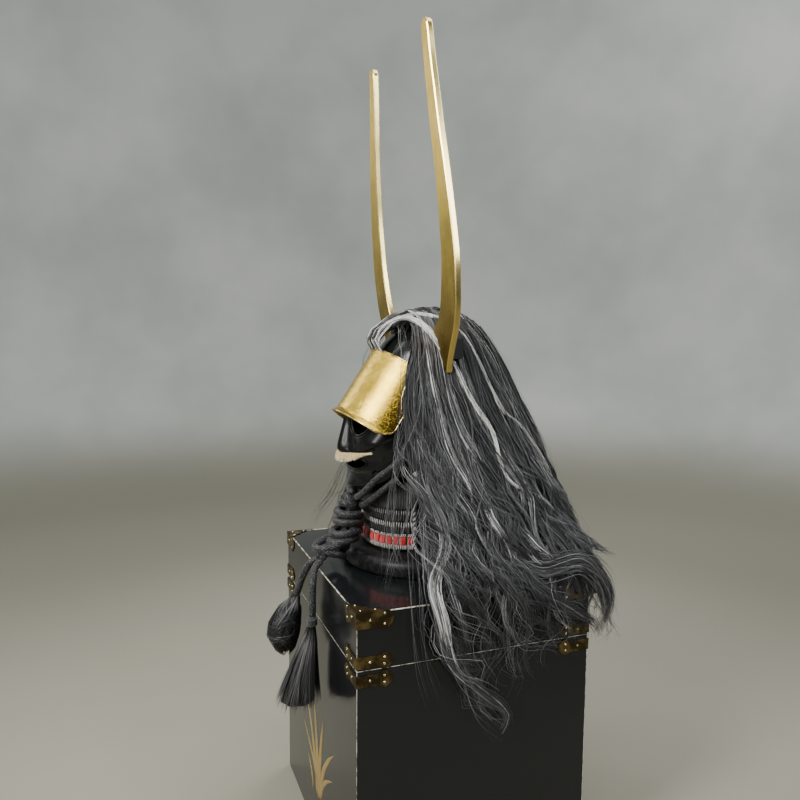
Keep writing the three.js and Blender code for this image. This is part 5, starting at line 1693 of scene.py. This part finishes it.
def outward(around, down):
    """Which way is out of the hair."""
    step = 0.012
    along = fall(around, np.minimum(down + step, 1)) - fall(around, np.maximum(down - step, 0))
    across = fall(np.minimum(around + step, 1), down) - fall(np.maximum(around - step, 0), down)
    return unit(np.cross(along, across))


def clear_of_box(points, gap=3.2):
    """Moves points that would sink into the box out through its nearest side."""
    p = points.copy()
    into = np.stack([BOX_HALF_X + gap - p[..., 0], BOX_HALF_Y + gap - np.abs(p[..., 1]), gap - p[..., 2]], -1)
    inside = (into > 0).all(-1)
    way = into.argmin(-1)
    p[..., 0] += np.where(inside & (way == 0), into[..., 0], 0)
    p[..., 1] += np.where(inside & (way == 1), into[..., 1], 0) * np.sign(p[..., 1])
    p[..., 2] += np.where(inside & (way == 2), into[..., 2], 0)
    return p


print("hair falls", round(length_of(fall(0.3, np.linspace(0, 1, 60)))), "mm at the side")

# %% [markdown]
# Hair has one sheen along its whole length, but each strand has its own grey, and the old silver
# ones stand together in locks. So each point carries the tone of its strand, and a ramp turns tone
# into colour.

# %% Hair finishes
GREYS = [
    (0.0, (0.010, 0.010, 0.011)),
    (0.35, (0.022, 0.0225, 0.024)),
    (0.60, (0.075, 0.077, 0.082)),
    (0.80, (0.25, 0.25, 0.255)),
    (1.0, (0.92, 0.91, 0.88)),
]
hair_finish = strands_finish("hair_strands", GREYS, 0.36)
under = Finish("hair_under_layer")
under_place = under.joined(under.mark("around_mm") * 0.9, under.mark("along_mm") * 0.02)
under_streak = under.noise(under_place, 1.0, 4.0, 0.7)
under_colour = under.ramp(under_streak, (0.30, (0.003, 0.003, 0.0035)), (0.74, (0.032, 0.033, 0.036)))
under_normal = under.bump(under_streak, 0.003, 0.8)
under_finish = under.surface(Base_Color=under_colour, Roughness=0.5, Normal=under_normal)
print("hair finishes")

# %% [markdown]
# First comes the under layer: a closed shell just inside the fall, ridged into locks, so that no
# gap between strands shows through to the other side.

# %% Hair under layer
def under_layer(side, columns=96, rows=56):
    around = np.linspace(0.035 if side > 0 else 0.13, 1, columns)[:, None]
    ragged = 0.68 + 0.05 * np.sin(around * 47 + side) + 0.05 * np.sin(around * 113)
    down = np.linspace(0, 1, rows)[None] * ragged
    ridge = np.abs(np.sin(around * 39 + 1.5 * np.sin(down * 9 + around * 5)))
    out = outward(around + 0 * down, down)
    middle = fall(around + 0 * down, down)
    outer = middle + out * (-6.5 + 4.5 * ridge * eased(0, 0.15, down))[..., None]
    inner = middle - out * (8.5 + 2.0 * eased(0.1, 0.5, down))[..., None]
    outer, inner = clear_of_box(outer, 4.5), clear_of_box(inner, 2.2)
    for layer in (outer, inner):
        layer[..., 0] = np.maximum(layer[..., 0], 0.15)
    points, faces = walled(outer, inner)
    marks = {
        "around_mm": np.tile((around * 620 + 0 * down).ravel(), 2),
        "along_mm": np.tile((down * 700 + 0 * around).ravel(), 2),
    }
    if side < 0:
        points, faces = mirror(points, faces)
    name = "left" if side > 0 else "right"
    return piece(f"hair_under_{name}", points, faces, under_finish, [f"hair_{name}"], marks=marks)


under_layer(1)
under_layer(-1)
print("under layer on both halves")

# %% [markdown]
# Then the locks. Each is a line on the fall with a width, and its strands keep together, cross a
# little and close up towards the tip. Straight hair becomes a wave in its lower half, so the wave
# grows with the share down. A strand is a flat ribbon, turned to face outwards.

# %% Locks and strands
STEPS = 26


def lock_line(spots, lead=()):
    """The line of a lock through (round, down) spots, with places before it, and which way is out."""
    spots = smooth_line(spots, 70)
    line, out = fall(spots[:, 0], spots[:, 1]), outward(spots[:, 0], spots[:, 1])
    down = spots[:, 1]
    if len(lead):
        lead = smooth_line(list(lead) + [line[0]], 12)[:-1]
        line = np.vstack([lead, line])
        out = np.vstack([np.repeat(out[:1], len(lead), 0), out])
        down = np.concatenate([np.zeros(len(lead)), down])
    along = np.concatenate([[0], np.cumsum(np.linalg.norm(np.diff(line, axis=0), axis=1))])
    at = np.linspace(0, along[-1], STEPS)
    pick = lambda values: np.stack([np.interp(at, along, values[:, k]) for k in range(3)], 1)
    return pick(line), unit(pick(out)), np.interp(at, along, down), at


def lock(rng, spots, lead, count, half, lift, wave, frizz, tone, spread=0.15, end=0.35, begin=0.55):
    """The strands of one lock: places, which way is out, and a tone for each."""
    line, out, down, at = lock_line(spots, lead)
    way = unit(np.gradient(line, axis=0))
    beside = np.cross(out, way)
    low = eased(0.32, 0.74, down)
    turns = at / wave[1] * 2 * math.pi + rng.uniform(0, 6.3)
    sway = (1.5 + wave[0] * low) * np.sin(turns)
    rise = lift + (0.8 + 0.45 * wave[0] * low) * np.cos(turns + rng.uniform(-0.6, 0.6))
    share = at / at[-1]
    body = (begin + (1 - begin) * eased(0, 0.2, share)) * (1 - (1 - end) * eased(0.55, 1.0, share))
    across = rng.uniform(-1, 1, (count, 1)) * half * body[None]
    depth = rng.uniform(-1, 1, (count, 1)) * (2.2 + 0.12 * half) * body[None]
    for scale, size in ((70.0, 1.0), (31.0, 0.45)):
        phase, pace = rng.uniform(0, 6.3, (count, 1)), rng.uniform(0.7, 1.3, (count, 1))
        swing = np.sin(at[None] / scale * 2 * pace + phase) * frizz * size * (0.35 + 0.65 * low[None])
        across = across + swing
        depth = depth + np.cos(at[None] / scale * 2.3 * pace + phase * 1.7) * frizz * 0.5 * size
    cut = rng.uniform(0.86, 1.0, (count, 1))
    grid = np.linspace(0, 1, STEPS)[None] * cut * (STEPS - 1)
    i = np.minimum(grid.astype(int), STEPS - 2)
    f = (grid - i)[..., None]
    blend = lambda rows: rows[i] * (1 - f) + rows[i + 1] * f
    place = blend(line) + blend(beside) * (across + blend(sway[:, None])[..., 0])[..., None]
    place = place + blend(out) * (depth + blend(rise[:, None])[..., 0])[..., None]
    tone = np.interp(share, np.linspace(0, 1, np.size(tone)), np.atleast_1d(tone))
    tones = np.clip(tone[None] + rng.normal(0, spread, (count, 1)), 0.02, 1)
    return place, blend(out), tones


def hair_piece(name, side, locks, rng, wide=(0.8, 1.35)):
    """Many locks as one piece, on either side."""
    places, out, tones = (np.concatenate([one[k] for one in locks]) for k in range(3))
    places = clear_of_box(places, 2.6)
    places[..., 0] = np.minimum(places[..., 0], 253)
    places[..., 1] = np.clip(places[..., 1], -190, 250)
    points, faces, marks = ribbons(places, out, tones, rng, wide)
    if side < 0:
        points, faces = mirror(points, faces)
    made = piece(name, points, faces, hair_finish, marks=marks)
    print(name, len(places), "strands,", 2 * len(faces), "triangles")
    return made


def drift(root, down):
    """How far a lock moves backwards as it falls over the cheek."""
    back = 0.03 + 0.125 * np.sin(math.pi * min(1.0, root / 0.72))
    return back * eased(0.22, 0.55, down) * (1 - 0.6 * eased(0.8, 1.0, down)) * (1 - root)


FRONT_EDGE = {1: 0.01, -1: 0.13}


def side_lock(rng, side, root, count, lift):
    """A lock that starts under the crown band and falls over the side."""
    start = rng.uniform(0.13, 0.16) if root < 0.16 else rng.uniform(0.04, 0.11)
    end = rng.uniform(0.66, 1.0) if lift > 3 else rng.uniform(0.55, 0.84)
    half = rng.uniform(4, 17)
    root = FRONT_EDGE[side] + root * (1 - FRONT_EDGE[side])
    down = np.linspace(start, end, 9)
    wander = rng.uniform(0, 6.3)
    around = [root + drift(root, d) + 0.03 * math.sin(8 * d + wander) * eased(0.34, 0.8, d) for d in down]
    edge = eased(0.15, 0.5, down)
    clear = FRONT_EDGE[side] + half * ((1 - edge) / 165 + edge / 320) + 0.035 * np.exp(-(((down - 0.55) / 0.1) ** 2))
    around = np.maximum(around, clear)
    spots = np.clip(np.stack([around, down], 1), 0, 1)
    tone = rng.choice([0.12, 0.27, 0.42, 0.58, 0.72], p=[0.22, 0.24, 0.22, 0.20, 0.12])
    wave = (rng.uniform(8, 24), rng.uniform(90, 165))
    # Locks with a low lift lie under the others and are painted darker, as painted shade. The tone list below also
    # darkens each lock towards its tip.
    tone = tone - max(0.0, 5.0 - lift) * 0.028
    frizz = rng.uniform(0.7, 2.0)
    return lock(rng, spots, (), count, half, lift, wave, frizz, [tone, tone, tone + 0.05, tone - 0.12])


def crown_lock(rng, count, lift):
    """A lock that runs back from the forehead along the crown and then falls."""
    reach = rng.uniform(0.2, 1.0)
    beside = rng.uniform(0.0, 0.11) * (1.15 - reach * 0.6)
    spots = [[0.0, beside * 0.6], [reach * 0.45, beside], [reach * 0.8, beside + 0.03], [reach, beside + 0.12]]
    end = rng.uniform(0.55, 0.95)
    last = [min(1.0, reach + 0.06 * math.sin(4 * d) * (1 - reach)) for d in (0.35, 0.6, 1.0)]
    spots += [[last[0], 0.34], [last[1], 0.52], [last[2], max(0.6, end)]]
    across = 3 + 190 * beside
    lead = [[across * 0.75, -85, 357], [across * 0.75, -95, 372], [across * 0.8, -92, 386]]
    tone = rng.choice([0.25, 0.40, 0.55, 0.66])
    wave = (rng.uniform(4, 11), rng.uniform(120, 190))
    return lock(rng, np.clip(spots, 0, 1), lead, count, rng.uniform(5, 10), lift, wave, rng.uniform(0.8, 1.8), tone)


SILVER_LOCKS = [
    {"spots": [(0.0, 0.03), (0.11, 0.08), (0.30, 0.12), (0.41, 0.16), (0.44, 0.22), (0.46, 0.29), (0.48, 0.34),
               (0.57, 0.38), (0.62, 0.46), (0.66, 0.56)], "lead": [(11, -86, 357), (11, -96, 374), (11, -92, 388)],
     "strands": 60, "half": 2.6, "lift": 7.5},
    {"spots": [(0.0, 0.05), (0.08, 0.11), (0.20, 0.15), (0.29, 0.24), (0.35, 0.32), (0.40, 0.38), (0.40, 0.45),
               (0.42, 0.49), (0.50, 0.53), (0.55, 0.57)], "lead": [(21, -85, 356), (21, -94, 372), (21, -89, 385)],
     "strands": 64, "half": 3.2, "lift": 7.5},
    {"spots": [(0.0, 0.06), (0.06, 0.12), (0.16, 0.16), (0.27, 0.23), (0.33, 0.31), (0.38, 0.38)],
     "lead": [(26, -84, 355), (26, -92, 370), (26, -86, 382)], "strands": 34, "half": 2.4, "lift": 6.5},
    # The last three are grey locks whose tone rises towards their middle and falls again: grey hair with a painted
    # highlight along it.
    {"spots": [(0.10, 0.52), (0.11, 0.58), (0.09, 0.64), (0.04, 0.69), (0.02, 0.74), (0.0, 0.80), (0.04, 0.86),
               (0.10, 0.90)], "lead": [], "strands": 84, "half": 8, "lift": 8,
     "tone": (0.5, 0.66, 0.74, 0.86, 0.98, 0.8, 0.6), "begin": 0.1},
    {"spots": [(0.14, 0.50), (0.15, 0.58), (0.12, 0.66), (0.10, 0.74), (0.13, 0.82)], "lead": [],
     "strands": 46, "half": 6, "lift": 7, "tone": (0.45, 0.62, 0.66, 0.5), "begin": 0.1},
    {"spots": [(0.42, 0.40), (0.47, 0.50), (0.46, 0.60), (0.50, 0.68)], "lead": [],
     "strands": 26, "half": 5, "lift": 7, "tone": (0.7, 0.8, 0.6), "begin": 0.1},
]
CURLS = [
    {"path": [(176, 52, 96), (206, 66, 58), (230, 96, 36), (240, 128, 40), (244, 160, 44), (244, 190, 26),
              (243, 212, -6), (243, 216, -34), (240, 208, -60), (238, 196, -80)],
     "half": 11, "tone": 0.50, "strands": 210},
    {"path": [(184, 30, 92), (214, 52, 52), (236, 84, 16), (243, 120, -14), (243, 160, -38), (242, 192, -60),
              (240, 206, -84)], "half": 9, "tone": 0.48, "strands": 150},
    {"path": [(176, -70, 110), (214, -80, 42), (240, -74, -18), (244, -66, -60), (243, -42, -100), (240, -8, -134),
              (239, 28, -164), (238, 44, -188), (236, 30, -212)], "half": 9, "tone": 0.46, "strands": 130},
    {"path": [(160, 150, 130), (184, 186, 80), (200, 210, 56), (216, 228, 46), (228, 240, 42)],
     "half": 5, "tone": 0.42, "strands": 60},
]


def curl(rng, row):
    """A lock along its own path, clear of the fall."""
    line = smooth_line(row["path"], STEPS)
    way = unit(np.gradient(line, axis=0))
    out = unit(np.array([1.0, 0.1, 0.25]) - way * (way @ np.array([1.0, 0.1, 0.25]))[:, None])
    beside = np.cross(out, way)
    share = np.linspace(0, 1, STEPS)
    body = (0.5 + 0.5 * eased(0, 0.3, share)) * (1 - 0.5 * eased(0.5, 1, share))
    count = row["strands"]
    across = rng.uniform(-1, 1, (count, 1)) * row["half"] * body
    depth = rng.uniform(-1, 1, (count, 1)) * 3.0 * body
    phase = rng.uniform(0, 6.3, (count, 1))
    across = across + (np.sin(share[None] * 9 + phase) + np.sin(share[None] * 17 + phase * 3)) * 2.2
    stray = rng.uniform(size=(count, 1)) < 0.12
    across = across * np.where(stray, 1.9, 1.0)
    place = line[None] + beside[None] * across[..., None] + out[None] * (depth + 1.0)[..., None]
    at = share[None] * rng.uniform(0.72, 1.0, (count, 1)) * (STEPS - 1)
    i = np.minimum(at.astype(int), STEPS - 2)
    f = (at - i)[..., None]
    rows = np.arange(count)[:, None]
    place = place[rows, i] * (1 - f) + place[rows, i + 1] * f
    tones = np.clip(rng.normal(row["tone"], 0.17, (count, 1)) + 0 * share, 0.02, 1)
    return place, np.broadcast_to(out, place.shape), tones


def half_of_hair(side, seed, layers, per_lock):
    """Layers of locks on one half, from the inside out."""
    name = "left" if side > 0 else "right"
    for layer, (locks, lift) in enumerate(layers):
        rng = np.random.default_rng(seed + layer)
        made = []
        for k in range(locks):
            root = (k + rng.uniform(0.1, 0.9)) / locks
            made.append(side_lock(rng, side, root, per_lock, lift + rng.uniform(-1.5, 2.5)))
        for _ in range(locks // 4):
            made.append(crown_lock(rng, per_lock, lift * 0.6 + rng.uniform(-1, 2)))
        if layer == len(layers) - 1:
            for row in SILVER_LOCKS:
                made.append(lock(rng, row["spots"], row["lead"], row["strands"], row["half"], row["lift"],
                                 (5, 140), 1.7, row.get("tone", 0.95), 0.12, 0.6, row.get("begin", 0.55)))
            made += [curl(rng, row) for row in CURLS]
        hair_piece(f"hair_{name}_{layer + 1}", side, made, rng)


half_of_hair(1, 11, [(40, -3.0), (40, 1.5), (32, 5.0)], 36)
half_of_hair(-1, 31, [(32, 1.0)], 37)

# %% [markdown]
# Last, the hairs that don't keep to a lock. They are few and thin, but they soften every edge.

# %% Loose hairs
WISPS = {
    1: [
        ([(14, -60, 412), (48, -62, 396), (74, -66, 366), (92, -70, 330)], 7, 16),
        ([(30, -40, 416), (62, -66, 380), (84, -84, 340)], 5, 14),
        ([(118, -84, 250), (122, -96, 190), (116, -104, 120), (124, -112, 50), (130, -116, 8)], 6, 10),
        ([(124, -70, 190), (150, -90, 120), (166, -120, 60), (176, -136, 8)], 6, 16),
        ([(130, -80, 180), (176, -96, 90), (228, -110, 8), (236, -104, -70), (238, -86, -130)], 8, 14),
        ([(236, -60, -20), (243, -40, -90), (242, -10, -160), (240, 34, -206)], 12, 18),
        ([(190, 160, 90), (214, 196, 30), (240, 214, -20), (240, 190, -90)], 10, 16),
        ([(120, -86, 210), (126, -104, 150), (150, -110, 70), (168, -96, 8)], 8, 12),
    ],
    -1: [
        ([(96, -92, 210), (104, -112, 150), (112, -140, 90), (118, -168, 40)], 12, 10),
        ([(104, -84, 170), (120, -110, 90), (150, -130, 10)], 8, 14),
    ],
}


def wisp(rng, path, count, spread):
    """A few single hairs along a path that each keep their own distance from it."""
    line = smooth_line(path, STEPS)
    share = np.linspace(0, 1, STEPS)
    own = rng.normal(0, spread * 0.5, (count, 1, 3)) * (0.4 + 0.6 * share)[None, :, None]
    pace, phase = rng.uniform(5, 14, (count, 1)), rng.uniform(0, 6.3, (count, 1))
    swing = np.sin(share[None] * pace + phase) * rng.uniform(1, 7, (count, 1))
    place = line[None] + own + swing[..., None] * unit(rng.normal(size=(count, 1, 3)))
    place[..., 0] = np.abs(place[..., 0])
    out = np.broadcast_to(np.array([1.0, 0.0, 0.0]), place.shape)
    return place, out, np.clip(rng.uniform(0.4, 0.78, (count, 1)) + 0 * share, 0, 1)


def loose_hairs(side, seed, count):
    rng = np.random.default_rng(seed)
    made = []
    for _ in range(count):
        root = rng.beta(0.8, 1.3)
        start = rng.uniform(0.1, 0.6)
        end = min(1.0, start + rng.uniform(0.25, 0.6))
        down = np.linspace(start, end, 7)
        around = root + drift(root, down) + 0.06 * np.sin(down * rng.uniform(5, 12) + rng.uniform(0, 6.3))
        spots = np.clip(np.stack([around, down], 1), 0, 1)
        wave = (rng.uniform(8, 30), rng.uniform(60, 160))
        made.append(lock(rng, spots, (), 3, 9, rng.uniform(3, 12), wave, 4.0, rng.uniform(0.42, 0.76), 0.08, 1.4))
    made += [wisp(rng, *row) for row in WISPS[side]]
    return hair_piece(f"loose_hairs_{'left' if side > 0 else 'right'}", side, made, rng, wide=(0.35, 0.6))


loose_hairs(1, 71, 170)
loose_hairs(-1, 72, 80)

# %% [markdown]
# ## Size
#
# The dressed helmet is meant to keep the size of the frame. Both boxes are printed.

# %% Size and finish
boxes = {"cad_box": CAD_BOX, "visual_box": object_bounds()}
for name, box in boxes.items():
    print(name, [[round(v, 4) for v in corner] for corner in box])
